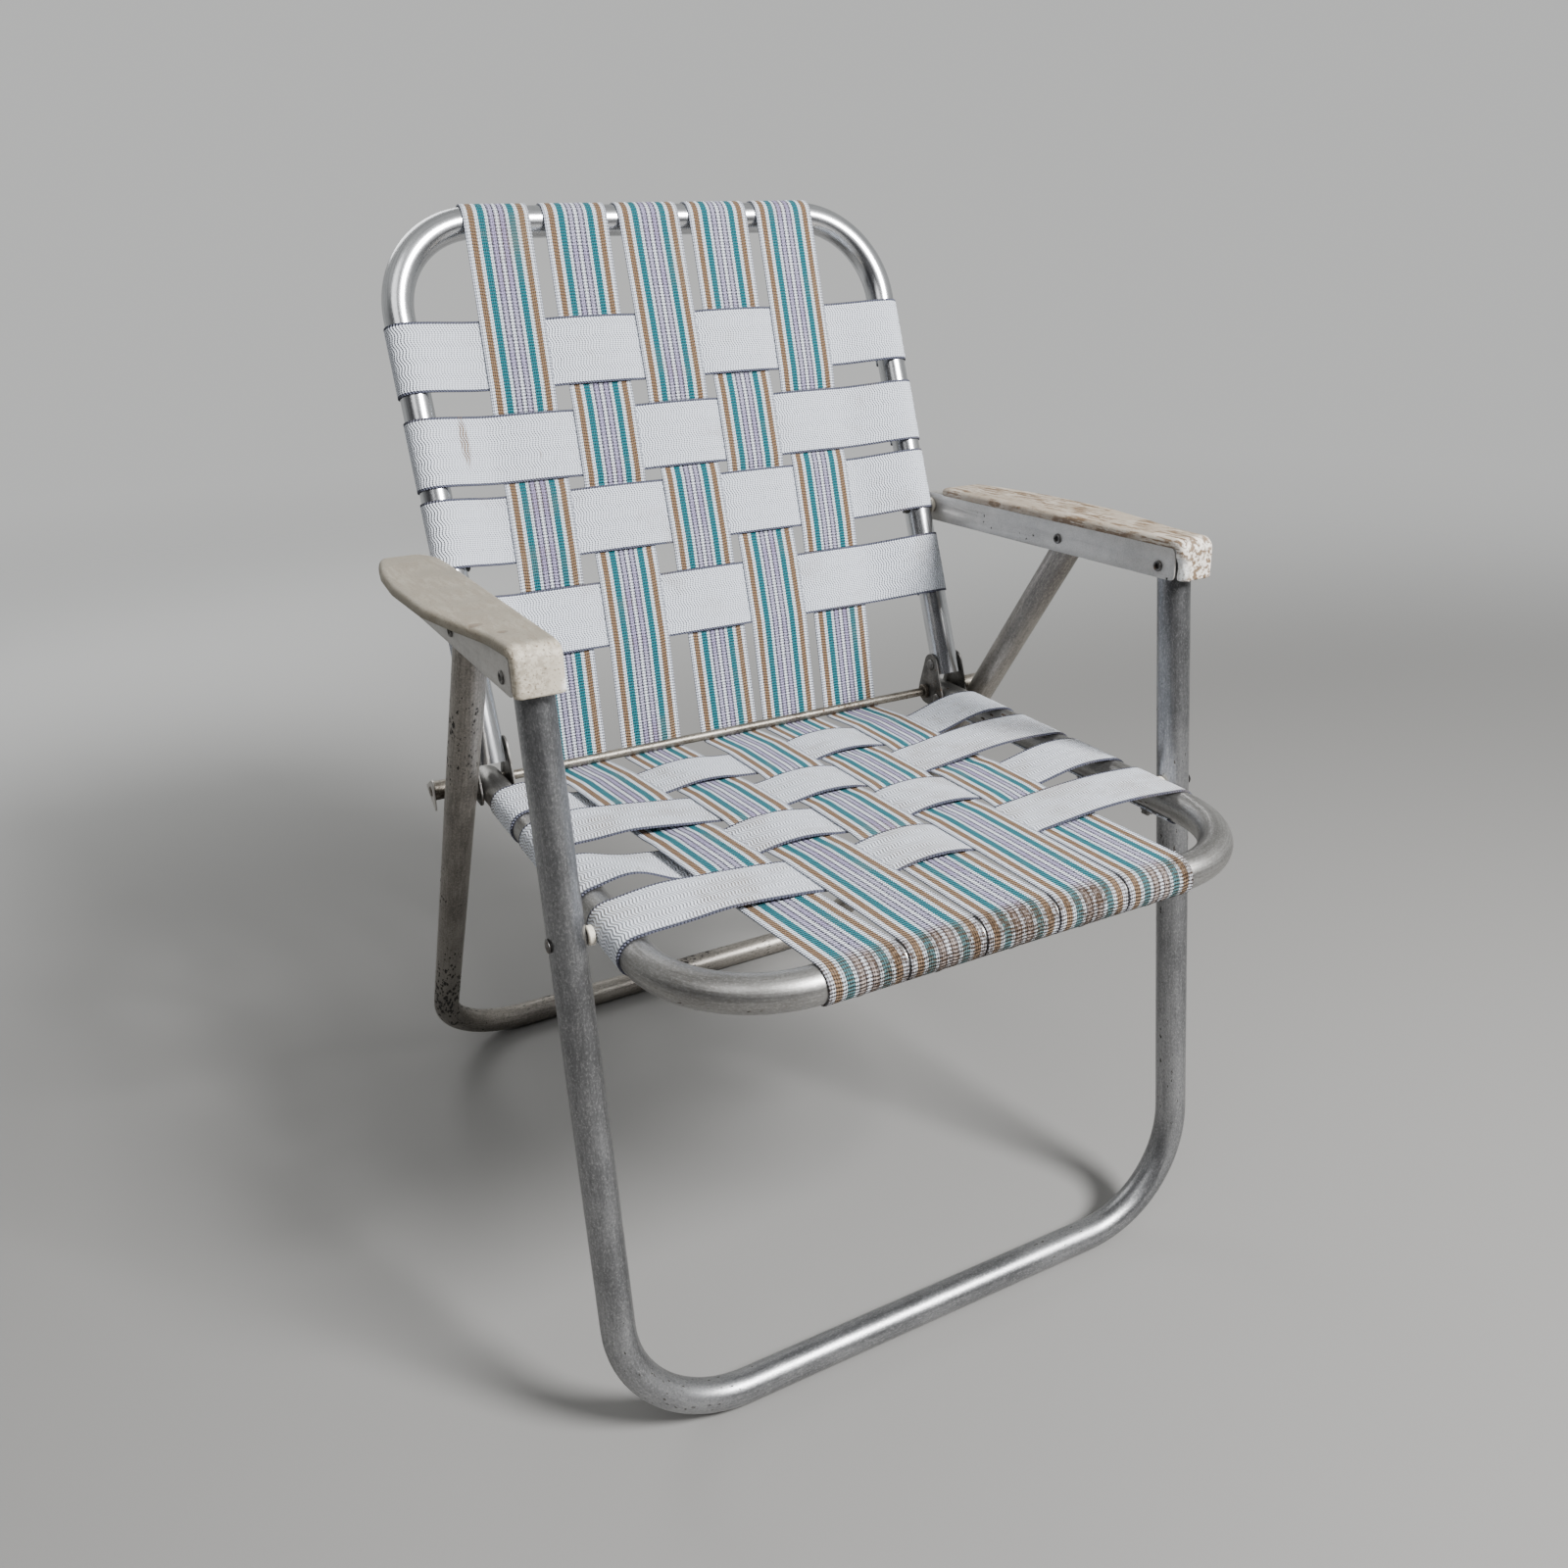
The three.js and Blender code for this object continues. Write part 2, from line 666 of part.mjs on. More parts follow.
// Arm channel: folded sheet, open below and at both ends, with rounded flange corners
function armChannel() {
  const rear = armLength + channelPastRear;
  const side = new THREE.Shape();
  side.moveTo(channelFront + 5, channelBottom);
  side.lineTo(rear - 9, channelBottom);
  side.quadraticCurveTo(rear, channelBottom, rear, channelBottom + 10);
  side.lineTo(rear, channelTop - 6);
  side.quadraticCurveTo(rear, channelTop, rear - 6, channelTop);
  side.lineTo(channelFront + 8, channelTop);
  side.quadraticCurveTo(channelFront, channelTop, channelFront, channelTop - 9);
  side.lineTo(channelFront, channelBottom + 5);
  side.quadraticCurveTo(channelFront, channelBottom, channelFront + 5, channelBottom);
  const block = sideSweep(side, armCentre - channelHalfWidth, armCentre + channelHalfWidth, 4);
  const room = channelTop - channelSheet - channelBottom;
  const middle = onSheet({ y: armMiddleReach, z: 0 });
  const rearHole = onSheet({ y: armLength, z: 0 });
  const hollow = new THREE.BoxGeometry((channelHalfWidth - channelSheet) * 2, armLength * 2, room + 2);
  hollow.translate(armCentre, armLength / 2, channelBottom - 2 + (room + 2) / 2);
  return cut(block, [
    hollow,
    crossDrill(rivetHole, 0, 0),
    crossDrill(rivetHole, middle.y, middle.z),
    crossBar(rivetHole, 0, armCentre, rearHole.y, rearHole.z, 12),
  ]);
}

// Outline of the arm pad from above, drawn in by an inset: straight inside, bulging outside, narrow nose
function padOutline(inset) {
  const inner = armCentre - padHalfNose + inset;
  const nose = armCentre + padHalfNose - inset;
  const bulge = armCentre + padBulge - inset;
  const front = padFront + inset;
  const rear = padRear - inset;
  const shape = new THREE.Shape();
  shape.moveTo(inner + padCorner, front);
  shape.lineTo(nose - padCorner, front);
  shape.quadraticCurveTo(nose, front, nose, front + padCorner);
  shape.bezierCurveTo(nose + 2, front + padShoulder, bulge, front + padSwell, bulge, front + padWidest);
  const outerCorner = bulge - padRearCutOuter;
  shape.bezierCurveTo(bulge, rear - padTaper, outerCorner + padCorner, rear - padRearRound, outerCorner, rear);
  shape.lineTo(inner + padRearCutInner, rear);
  shape.quadraticCurveTo(inner, rear, inner, rear - padRearRound);
  shape.lineTo(inner, front + padCorner);
  shape.quadraticCurveTo(inner, front, inner + padCorner, front);
  return shape;
}

// Arm pad: a moulded cap over the channel, hollow under its bulge, with a nose that turns down in front
function armPad() {
  const farPast = armLength * 2;
  const cap = new THREE.ExtrudeGeometry(padOutline(padEdge), {
    depth: padTop - padLip - padEdge,
    bevelThickness: padEdge,
    bevelSize: padEdge,
    bevelSegments: 2,
    curveSegments: 7,
  });
  cap.translate(0, 0, padLip);
  const below = new THREE.BoxGeometry(farPast, farPast * 2, padEdge);
  below.translate(armCentre, 0, padLip - padEdge / 2);
  const channelSeat = new THREE.BoxGeometry((channelHalfWidth + touchGap) * 2, farPast, padEdge * 2);
  channelSeat.translate(armCentre, farPast / 2 + channelFront - touchGap, channelTop + touchGap - padEdge);
  const pocket = new THREE.ExtrudeGeometry(padOutline(padShell), {
    depth: padTop - padShell - padLip,
    bevelEnabled: false,
    curveSegments: 7,
  });
  pocket.translate(0, 0, padLip - 1);
  const pastChannel = new THREE.BoxGeometry(farPast, farPast * 2, padTop * 4);
  pastChannel.translate(armCentre + channelHalfWidth + padShell + farPast / 2, 0, 0);
  const overhang = solidOf(pocket).intersect(solidOf(pastChannel));

  const nose = new THREE.Shape();
  const noseBack = channelFront - touchGap;
  nose.moveTo(noseBack, channelBottom);
  nose.lineTo(noseBack, padLip + 1);
  nose.lineTo(padFront, padLip + 1);
  nose.quadraticCurveTo(padFront, channelBottom, padFront + padEdge, channelBottom);
  const noseWall = sideSweep(nose, armCentre - padHalfNose, armCentre + padHalfNose, 4);
  const shell = solidOf(cap).subtract(solidOf(below)).subtract(solidOf(channelSeat)).subtract(overhang);
  return geometryOf(shell.add(solidOf(noseWall)));
}

// Arms: a channel, its pad, and the rivets that carry the legs and hold the arm to the back
function arms() {
  const group = frameGroup(armFrontPivot, armSlope);
  const sheetGroup = frameGroup({ y: 0, z: 0 }, -armDroop);
  pair(sheetGroup, 'arm_channel', armChannel(), sheetAluminium);
  pair(sheetGroup, 'arm_pad', armPad(), creamPlastic);
  group.add(sheetGroup);
  const inner = armCentre - channelHalfWidth - touchGap;
  const outer = armCentre + channelHalfWidth + touchGap;
  pair(group, 'arm_front_rivet', rivet(inner, outer, 0, 0), darkSteel);
  pair(group, 'arm_middle_rivet', rivet(inner, outer, armMiddleReach, 0), darkSteel);
  const tubeInner = frameHalfWidth - tubeReach - touchGap;
  const tubeOuter = frameHalfWidth + tubeReach + touchGap;
  const flangeInside = inner + touchGap * 2 + channelSheet;
  pair(group, 'arm_rear_rivet', rivet(tubeInner, flangeInside, armLength, 0), darkSteel);
  pair(group, 'arm_rear_washer', ring(washerRadius, rivetHole, tubeOuter, inner, armLength, 0, 14), nylon);
  return group;
}

chair.add(frontLeg(), rearLeg(), backRest(), seat(), hinge(), seatPivots(), arms());

export default chair;
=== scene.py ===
import json
import math

import bpy
import numpy as np
from mathutils import Matrix, Vector

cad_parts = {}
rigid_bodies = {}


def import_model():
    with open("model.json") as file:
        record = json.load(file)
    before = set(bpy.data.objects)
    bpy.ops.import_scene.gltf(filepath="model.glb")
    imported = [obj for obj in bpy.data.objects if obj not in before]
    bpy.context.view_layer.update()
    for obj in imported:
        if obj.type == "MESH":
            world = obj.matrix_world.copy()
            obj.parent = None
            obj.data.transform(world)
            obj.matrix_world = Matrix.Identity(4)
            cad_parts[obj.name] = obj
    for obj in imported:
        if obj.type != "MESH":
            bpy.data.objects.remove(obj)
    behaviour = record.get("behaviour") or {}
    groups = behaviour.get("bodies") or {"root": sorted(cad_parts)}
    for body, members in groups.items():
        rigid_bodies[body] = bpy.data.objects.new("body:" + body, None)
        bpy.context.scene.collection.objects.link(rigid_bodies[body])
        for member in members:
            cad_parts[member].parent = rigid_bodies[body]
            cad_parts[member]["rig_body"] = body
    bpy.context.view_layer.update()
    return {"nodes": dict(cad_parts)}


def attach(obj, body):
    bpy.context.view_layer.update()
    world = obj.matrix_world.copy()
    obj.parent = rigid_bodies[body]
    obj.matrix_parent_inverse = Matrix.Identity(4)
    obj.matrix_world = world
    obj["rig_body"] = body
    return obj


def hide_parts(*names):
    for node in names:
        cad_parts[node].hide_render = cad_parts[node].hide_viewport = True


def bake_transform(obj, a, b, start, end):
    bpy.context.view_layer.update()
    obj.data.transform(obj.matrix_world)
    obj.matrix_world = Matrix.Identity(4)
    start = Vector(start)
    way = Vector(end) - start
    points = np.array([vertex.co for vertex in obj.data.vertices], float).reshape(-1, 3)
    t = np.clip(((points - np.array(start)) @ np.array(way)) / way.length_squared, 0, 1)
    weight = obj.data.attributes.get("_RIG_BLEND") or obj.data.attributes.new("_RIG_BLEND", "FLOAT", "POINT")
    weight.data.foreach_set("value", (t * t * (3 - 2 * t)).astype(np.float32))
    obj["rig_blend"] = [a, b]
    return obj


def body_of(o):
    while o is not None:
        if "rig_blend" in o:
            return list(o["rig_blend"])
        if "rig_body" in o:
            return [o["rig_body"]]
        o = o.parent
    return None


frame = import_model()

# Each flat frame of the chair: where its origin stands, and how steeply its length runs up
planes = {
    "back": {"place": (0, 0.07792, 0.43564), "slope": 69.3},
    "seat": {"place": (0, -0.331, 0.4066), "slope": -0.45},
    "frontLeg": {"place": (0, -0.251, 0.0127), "slope": 83.1},
    "rearLeg": {"place": (0, 0.333, 0.0127), "slope": 124.7},
    "arm": {"place": (0, -0.1809, 0.5812), "slope": -1.386},
}
sideNames = {-1: "left", 1: "right"}
frameHalf = 0.2265  # from the middle of the chair to the middle of a back or seat tube
strapWidth = 0.056
mergeDistance = 0.00001


# Selecting, placing and finishing

def clearSelection():
    if bpy.context.mode != "OBJECT":
        bpy.ops.object.mode_set(mode="OBJECT")
    bpy.ops.object.select_all(action="DESELECT")


def pick(piece):
    clearSelection()
    piece.select_set(True)
    bpy.context.view_layer.objects.active = piece


def nameNew(name):
    piece = bpy.context.active_object
    piece.name = name
    piece.data.name = name
    return piece


def newPiece(name, mesh):
    piece = bpy.data.objects.new(name, mesh.copy())
    piece.data.name = name
    bpy.context.collection.objects.link(piece)
    return piece


def applyPlace(piece):
    pick(piece)
    bpy.ops.object.transform_apply(location=True, rotation=True, scale=True)


def standIn(piece, plane):
    piece.location = plane["place"]
    piece.rotation_euler = (math.radians(plane["slope"]), 0, 0)
    applyPlace(piece)


def applyModifier(piece, kind, **settings):
    pick(piece)
    modifier = piece.modifiers.new(kind.title(), kind)
    for setting, value in settings.items():
        setattr(modifier, setting, value)
    bpy.ops.object.modifier_apply(modifier=modifier.name)


def shadeRound(piece, degrees=40):
    pick(piece)
    bpy.ops.object.shade_smooth_by_angle(angle=math.radians(degrees))


def openMesh(piece):
    pick(piece)
    bpy.ops.object.mode_set(mode="EDIT")
    bpy.ops.mesh.select_all(action="SELECT")


# Merge what meets and turn every face outwards, then leave edit mode
def closeSeams():
    bpy.ops.mesh.select_all(action="SELECT")
    bpy.ops.mesh.remove_doubles(threshold=mergeDistance)
    bpy.ops.mesh.normals_make_consistent(inside=False)
    bpy.ops.object.mode_set(mode="OBJECT")


def dress(piece, finish):
    piece.data.materials.clear()
    piece.data.materials.append(finish["material"])


# The piece takes the place of its CAD node, on the body that carries it
def standFor(piece, finish, node):
    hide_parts(node)
    dress(piece, finish)
    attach(piece, body_of(frame["nodes"][node])[0])


def sidePoint(plane, along, up):
    slope = math.radians(plane["slope"])
    y = plane["place"][1] + along * math.cos(slope) - up * math.sin(slope)
    z = plane["place"][2] + along * math.sin(slope) + up * math.cos(slope)
    return y, z


def inPlane(plane, y, z):
    slope = math.radians(plane["slope"])
    y = y - plane["place"][1]
    z = z - plane["place"][2]
    return y * math.cos(slope) + z * math.sin(slope), z * math.cos(slope) - y * math.sin(slope)


def mix(a, b, share):
    return a + (b - a) * share


def eased(share):
    return share * share * (3 - 2 * share)


# Lines as rows of points

def lengthsAlong(line):
    steps = np.linalg.norm(np.diff(line, axis=0), axis=1)
    return np.concatenate([[0], np.cumsum(steps)])


def pointsAt(reached, lengths, line):
    return np.column_stack([np.interp(reached, lengths, column) for column in line.T])


def headings(line):
    along = np.gradient(line, axis=0)
    return along / np.linalg.norm(along, axis=1)[:, None]


def runningMean(values, reach):
    kernel = np.ones(2 * reach + 1) / (2 * reach + 1)
    return np.convolve(np.pad(values, reach, mode="edge"), kernel, "valid")


fineStep = 0.0005


# Even points along a line, each the mean of its neighbours within the window, so that kinks settle
def settledLine(points, window):
    points = np.array(points)
    lengths = lengthsAlong(points)
    line = pointsAt(np.arange(0, lengths[-1], fineStep), lengths, points)
    reach = int(window / fineStep / 2)
    return np.column_stack([runningMean(column, reach) for column in line.T])


def arcPoints(centre, radius, fromAngle, toAngle, step=6):
    count = max(2, round(abs(toAngle - fromAngle) / step))
    angles = np.radians(np.linspace(fromAngle, toAngle, count + 1))
    return [(centre[0] + radius * math.cos(a), centre[1] + radius * math.sin(a)) for a in angles]


# Shader nodes

# Each input takes another node's output or a plain value. Colours are written without their alpha
def feed(node, inputs):
    for name, value in inputs.items():
        socket = node.inputs[name]
        if isinstance(value, bpy.types.NodeSocket):
            node.id_data.links.new(value, socket)
        elif socket.type == "RGBA":
            socket.default_value = (*value, 1.0)
        else:
            socket.default_value = value


def addNode(tree, kind, inputs=None, **properties):
    node = tree.nodes.new(kind)
    for name, value in properties.items():
        setattr(node, name, value)
    feed(node, inputs or {})
    return node


# A node in the tree that its inputs come from
def nextNode(kind, inputs, **properties):
    source = next(value for value in inputs.values() if isinstance(value, bpy.types.NodeSocket))
    return addNode(source.id_data, kind, inputs, **properties)


def maths(operation, *values):
    return nextNode("ShaderNodeMath", dict(enumerate(values)), operation=operation).outputs[0]


def times(*values):
    product = values[0]
    for value in values[1:]:
        product = maths("MULTIPLY", product, value)
    return product


def timesPlus(value, factor, added):
    return maths("MULTIPLY_ADD", value, factor, added)


# 0 below low, 1 above high, smooth between
def ramp(value, low, high):
    return nextNode("ShaderNodeMapRange", {
        "Value": value, "From Min": low, "From Max": high, "To Min": 0.0, "To Max": 1.0,
    }, interpolation_type="SMOOTHSTEP").outputs["Result"]


# The node's share and two colours are its inputs 0, 6 and 7, and the blended colour is its output 2
def blendColour(share, first, second):
    return nextNode("ShaderNodeMix", {0: share, 6: first, 7: second}, data_type="RGBA").outputs[2]


def coords(tree):
    return addNode(tree, "ShaderNodeTexCoord").outputs


def straightPlace(tree):
    return addNode(tree, "ShaderNodeAttribute", attribute_name="straight").outputs["Vector"]


def axes(vector):
    return nextNode("ShaderNodeSeparateXYZ", {"Vector": vector}).outputs


def stretch(place, scale):
    return nextNode("ShaderNodeMapping", {"Vector": place, "Scale": scale}).outputs["Vector"]


def noise(place, scale, detail, roughness=0.5):
    return nextNode("ShaderNodeTexNoise", {
        "Vector": place, "Scale": scale, "Detail": detail, "Roughness": roughness,
    }).outputs


def vectorMaths(operation, inputs):
    return nextNode("ShaderNodeVectorMath", inputs, operation=operation).outputs


def distance(place, spot):
    return vectorMaths("DISTANCE", {0: place, 1: spot})["Value"]


# How near a surface point is to a spot: 1 inside, 0 beyond twice the radius
def nearSpot(place, spot, radius):
    return ramp(distance(place, spot), radius * 2, radius)


def newGroup(name, inputs, outputs):
    tree = bpy.data.node_groups.new(name, "ShaderNodeTree")
    for socket, value in inputs.items():
        made = tree.interface.new_socket(socket, in_out="INPUT", socket_type="NodeSocketFloat")
        made.default_value = value
    for socket in outputs:
        tree.interface.new_socket(socket, in_out="OUTPUT", socket_type="NodeSocketFloat")
    return tree, addNode(tree, "NodeGroupInput").outputs, addNode(tree, "NodeGroupOutput")


def useGroup(tree, group, inputs):
    return addNode(tree, "ShaderNodeGroup", inputs, node_tree=group).outputs


# Cloudy blotches with fine specks over them, in the object's own place
def makeBlotches():
    tree, given, result = newGroup("blotches", {"Scale": 30.0, "Speck Scale": 900.0}, ("Cloud", "Speck"))
    place = coords(tree)["Object"]
    feed(result, {
        "Cloud": noise(place, given["Scale"], detail=6.0, roughness=0.62)["Fac"],
        "Speck": noise(place, given["Speck Scale"], detail=3.0, roughness=0.7)["Fac"],
    })
    return tree


# Marks of drawn tube, in the tube's straight place: streaks along it, a grain of oxide, and broad patches
tubeMarkKinds = {
    "Streak": {"stretch": (1.0, 1.0, 0.035), "scale": 700.0, "detail": 4.0, "roughness": 0.6},
    "Grain": {"stretch": (1.0, 1.0, 0.55), "scale": 900.0, "detail": 5.0, "roughness": 0.75},
    "Patch": {"stretch": (1.0, 1.0, 0.4), "scale": 12.0, "detail": 7.0, "roughness": 0.68},
}


def makeTubeMarks():
    inputs = {f"{mark} Scale": kind["scale"] for mark, kind in tubeMarkKinds.items()}
    tree, given, result = newGroup("tubeMarks", inputs, tubeMarkKinds)
    place = straightPlace(tree)
    for mark, kind in tubeMarkKinds.items():
        drawn = stretch(place, kind["stretch"])
        feed(result, {
            mark: noise(drawn, given[f"{mark} Scale"], kind["detail"], kind["roughness"])["Fac"],
        })
    return tree


# Corrosion pits: ragged dark spots of unequal size, crowded in places. On drawn tube they run along it
pitShape = {
    "stretch": (1.0, 1.0, 0.38), "raggedScale": 1500.0, "raggedReach": 0.0022,
    "crowdScale": 16.0, "crowd": (0.40, 0.66), "everywhere": 9.0,
}


def makePits(name, drawn):
    inputs = {"Scale": 260.0, "Size": 0.25, "Share": 0.5, "Reach": pitShape["everywhere"]}
    tree, given, result = newGroup(name, inputs, ("Pit",))
    if drawn:
        straight = straightPlace(tree)
        place = stretch(straight, pitShape["stretch"])
        worn = maths("LESS_THAN", axes(straight)["Z"], given["Reach"])
    else:
        place = coords(tree)["Object"]
        worn = 1.0
    ragged = noise(place, pitShape["raggedScale"], detail=2.0)["Color"]
    shake = vectorMaths("SCALE", {0: ragged, "Scale": pitShape["raggedReach"]})["Vector"]
    shaken = vectorMaths("ADD", {0: place, 1: shake})["Vector"]
    cells = nextNode("ShaderNodeTexVoronoi", {"Vector": shaken, "Scale": given["Scale"]}).outputs
    crowd = ramp(noise(place, pitShape["crowdScale"], detail=5.0)["Fac"], *pitShape["crowd"])
    chance = nextNode("ShaderNodeSeparateColor", {"Color": cells["Color"]}).outputs
    reach = times(crowd, given["Size"], chance["Green"])
    kept = maths("LESS_THAN", chance["Red"], given["Share"])
    inside = maths("LESS_THAN", cells["Distance"], reach)
    feed(result, {"Pit": times(kept, inside, worn)})
    return tree


blotches = makeBlotches()
tubeMarks = makeTubeMarks()
pits = {"drawn": makePits("drawnPits", True), "sheet": makePits("sheetPits", False)}


def newMaterial(name):
    material = bpy.data.materials.new(name)
    material.use_nodes = True
    tree = material.node_tree
    shader = tree.nodes["Principled BSDF"]
    return material, tree, shader


def setBump(shader, height, strength, high):
    bump = nextNode("ShaderNodeBump", {"Height": height, "Strength": strength, "Distance": high})
    feed(shader, {"Normal": bump.outputs["Normal"]})


# Bare metal: two tones in patches, drawn streaks, a speckle of oxide, and dark pits where it has corroded.
# Pairs are the limits between which a mark comes in
metalMarks = {
    "tone": (0.36, 0.64), "speck": (0.50, 0.66), "soot": (0.48, 0.34),
    "pitRough": 0.35, "pitMetallic": -0.8, "bumpStrength": 0.5, "bumpHigh": 0.0003,
}


def metalMaterial(name, look):
    material, tree, shader = newMaterial(name)
    if look["drawn"]:
        scales = {"Patch Scale": look["patchScale"], "Grain Scale": look["grainScale"]}
        marks = useGroup(tree, tubeMarks, scales)
        patch, grain, streak = marks["Patch"], marks["Grain"], marks["Streak"]
    else:
        marks = useGroup(tree, blotches, {"Scale": look["patchScale"], "Speck Scale": look["grainScale"]})
        patch, grain, streak = marks["Cloud"], marks["Speck"], marks["Cloud"]
    pit = useGroup(tree, pits["drawn" if look["drawn"] else "sheet"], {
        "Scale": look["pitScale"], "Size": look["pitSize"], "Share": look["pitShare"],
        "Reach": look.get("pitReach", pitShape["everywhere"]),
    })["Pit"]
    tone = timesPlus(streak, look["streak"], times(patch, 1 - look["streak"]))
    metal = blendColour(ramp(tone, *metalMarks["tone"]), look["dark"], look["light"])
    for mark in ("speck", "soot"):
        share = times(ramp(grain, *metalMarks[mark]), look["speckShare"])
        metal = blendColour(share, metal, look[mark])
    rough = timesPlus(tone, look["roughSpread"], look["rough"])
    feed(shader, {
        "Base Color": blendColour(pit, metal, look["pit"]),
        "Roughness": timesPlus(pit, metalMarks["pitRough"], rough),
        "Metallic": timesPlus(pit, metalMarks["pitMetallic"], look["metallic"]),
    })
    height = maths("SUBTRACT", times(grain, look["bump"]), pit)
    setBump(shader, height, metalMarks["bumpStrength"], metalMarks["bumpHigh"])
    return material


metalLooks = {
    "polishedTube": {
        "slot": "polished_tube", "drawn": True, "metallic": 1.0, "rough": 0.17, "roughSpread": 0.14,
        "dark": (0.52, 0.53, 0.55), "light": (0.72, 0.73, 0.75), "streak": 0.7, "patchScale": 14.0,
        "speck": (0.80, 0.80, 0.81), "soot": (0.30, 0.29, 0.28), "speckShare": 0.22, "grainScale": 900.0,
        "pit": (0.05, 0.045, 0.04), "pitScale": 260.0, "pitSize": 0.3, "pitShare": 0.12, "bump": 0.12,
    },
    "weatheredTube": {
        "slot": "weathered_tube", "drawn": True, "metallic": 0.96, "rough": 0.26, "roughSpread": 0.2,
        "dark": (0.16, 0.162, 0.168), "light": (0.35, 0.352, 0.36), "streak": 0.2, "patchScale": 15.0,
        "speck": (0.60, 0.60, 0.59), "soot": (0.10, 0.10, 0.10), "speckShare": 0.42, "grainScale": 780.0,
        "pit": (0.04, 0.036, 0.032), "pitScale": 420.0, "pitSize": 0.45, "pitShare": 0.25, "bump": 0.4,
    },
    "pittedTube": {
        "slot": "pitted_tube", "drawn": True, "metallic": 0.85, "rough": 0.32, "roughSpread": 0.22,
        "dark": (0.17, 0.155, 0.14), "light": (0.36, 0.335, 0.30), "streak": 0.35, "patchScale": 17.0,
        "speck": (0.50, 0.46, 0.40), "soot": (0.06, 0.052, 0.045), "speckShare": 0.45, "grainScale": 620.0,
        "pit": (0.018, 0.015, 0.013), "pitScale": 420.0, "pitSize": 1.15, "pitShare": 0.78, "bump": 0.6,
        "pitReach": 1.15,
    },
    "seatTube": {
        "slot": "weathered_tube", "drawn": True, "metallic": 0.93, "rough": 0.30, "roughSpread": 0.18,
        "dark": (0.21, 0.205, 0.198), "light": (0.38, 0.375, 0.365), "streak": 0.3, "patchScale": 16.0,
        "speck": (0.62, 0.60, 0.56), "soot": (0.16, 0.125, 0.09), "speckShare": 0.35, "grainScale": 800.0,
        "pit": (0.05, 0.032, 0.02), "pitScale": 330.0, "pitSize": 0.6, "pitShare": 0.3, "bump": 0.3,
    },
    "channelSheet": {
        "slot": "sheet_aluminium", "drawn": False, "metallic": 0.7, "rough": 0.42, "roughSpread": 0.15,
        "dark": (0.42, 0.405, 0.385), "light": (0.52, 0.503, 0.478), "streak": 0.5, "patchScale": 30.0,
        "speck": (0.55, 0.54, 0.52), "soot": (0.16, 0.145, 0.13), "speckShare": 0.35, "grainScale": 1100.0,
        "pit": (0.04, 0.033, 0.028), "pitScale": 190.0, "pitSize": 0.35, "pitShare": 0.3, "bump": 0.25,
    },
    "darkSteel": {
        "slot": "dark_steel", "drawn": False, "metallic": 0.9, "rough": 0.36, "roughSpread": 0.2,
        "dark": (0.085, 0.083, 0.08), "light": (0.20, 0.195, 0.19), "streak": 0.5, "patchScale": 70.0,
        "speck": (0.36, 0.33, 0.29), "soot": (0.04, 0.033, 0.026), "speckShare": 0.45, "grainScale": 1000.0,
        "pit": (0.11, 0.055, 0.028), "pitScale": 400.0, "pitSize": 0.5, "pitShare": 0.3, "bump": 0.4,
    },
    "rustySteel": {
        "slot": "bright_steel", "drawn": False, "metallic": 0.88, "rough": 0.34, "roughSpread": 0.22,
        "dark": (0.09, 0.077, 0.062), "light": (0.25, 0.232, 0.20), "streak": 0.5, "patchScale": 28.0,
        "speck": (0.36, 0.335, 0.295), "soot": (0.07, 0.042, 0.024), "speckShare": 0.6, "grainScale": 800.0,
        "pit": (0.09, 0.045, 0.022), "pitScale": 420.0, "pitSize": 0.7, "pitShare": 0.4, "bump": 0.5,
    },
}

# Moulded plastic gone chalky: fine speckle, long stains, dents, and fresh plastic at a broken corner
plasticMarks = {
    "cloud": (0.3, 0.7), "nose": (-0.189, -0.202), "noseShare": 0.75, "speck": (0.57, 0.68),
    "streakStretch": (1.0, 0.12, 1.0), "streakScale": 250.0, "stainCloud": (0.38, 0.52),
    "stainStreak": (0.46, 0.54), "dentShare": 0.8, "freshSpeck": (0.36, 0.5), "relief": 3.0,
    "rough": 0.48, "roughSpread": 0.2, "bumpStrength": 0.35, "bumpHigh": 0.0004,
}


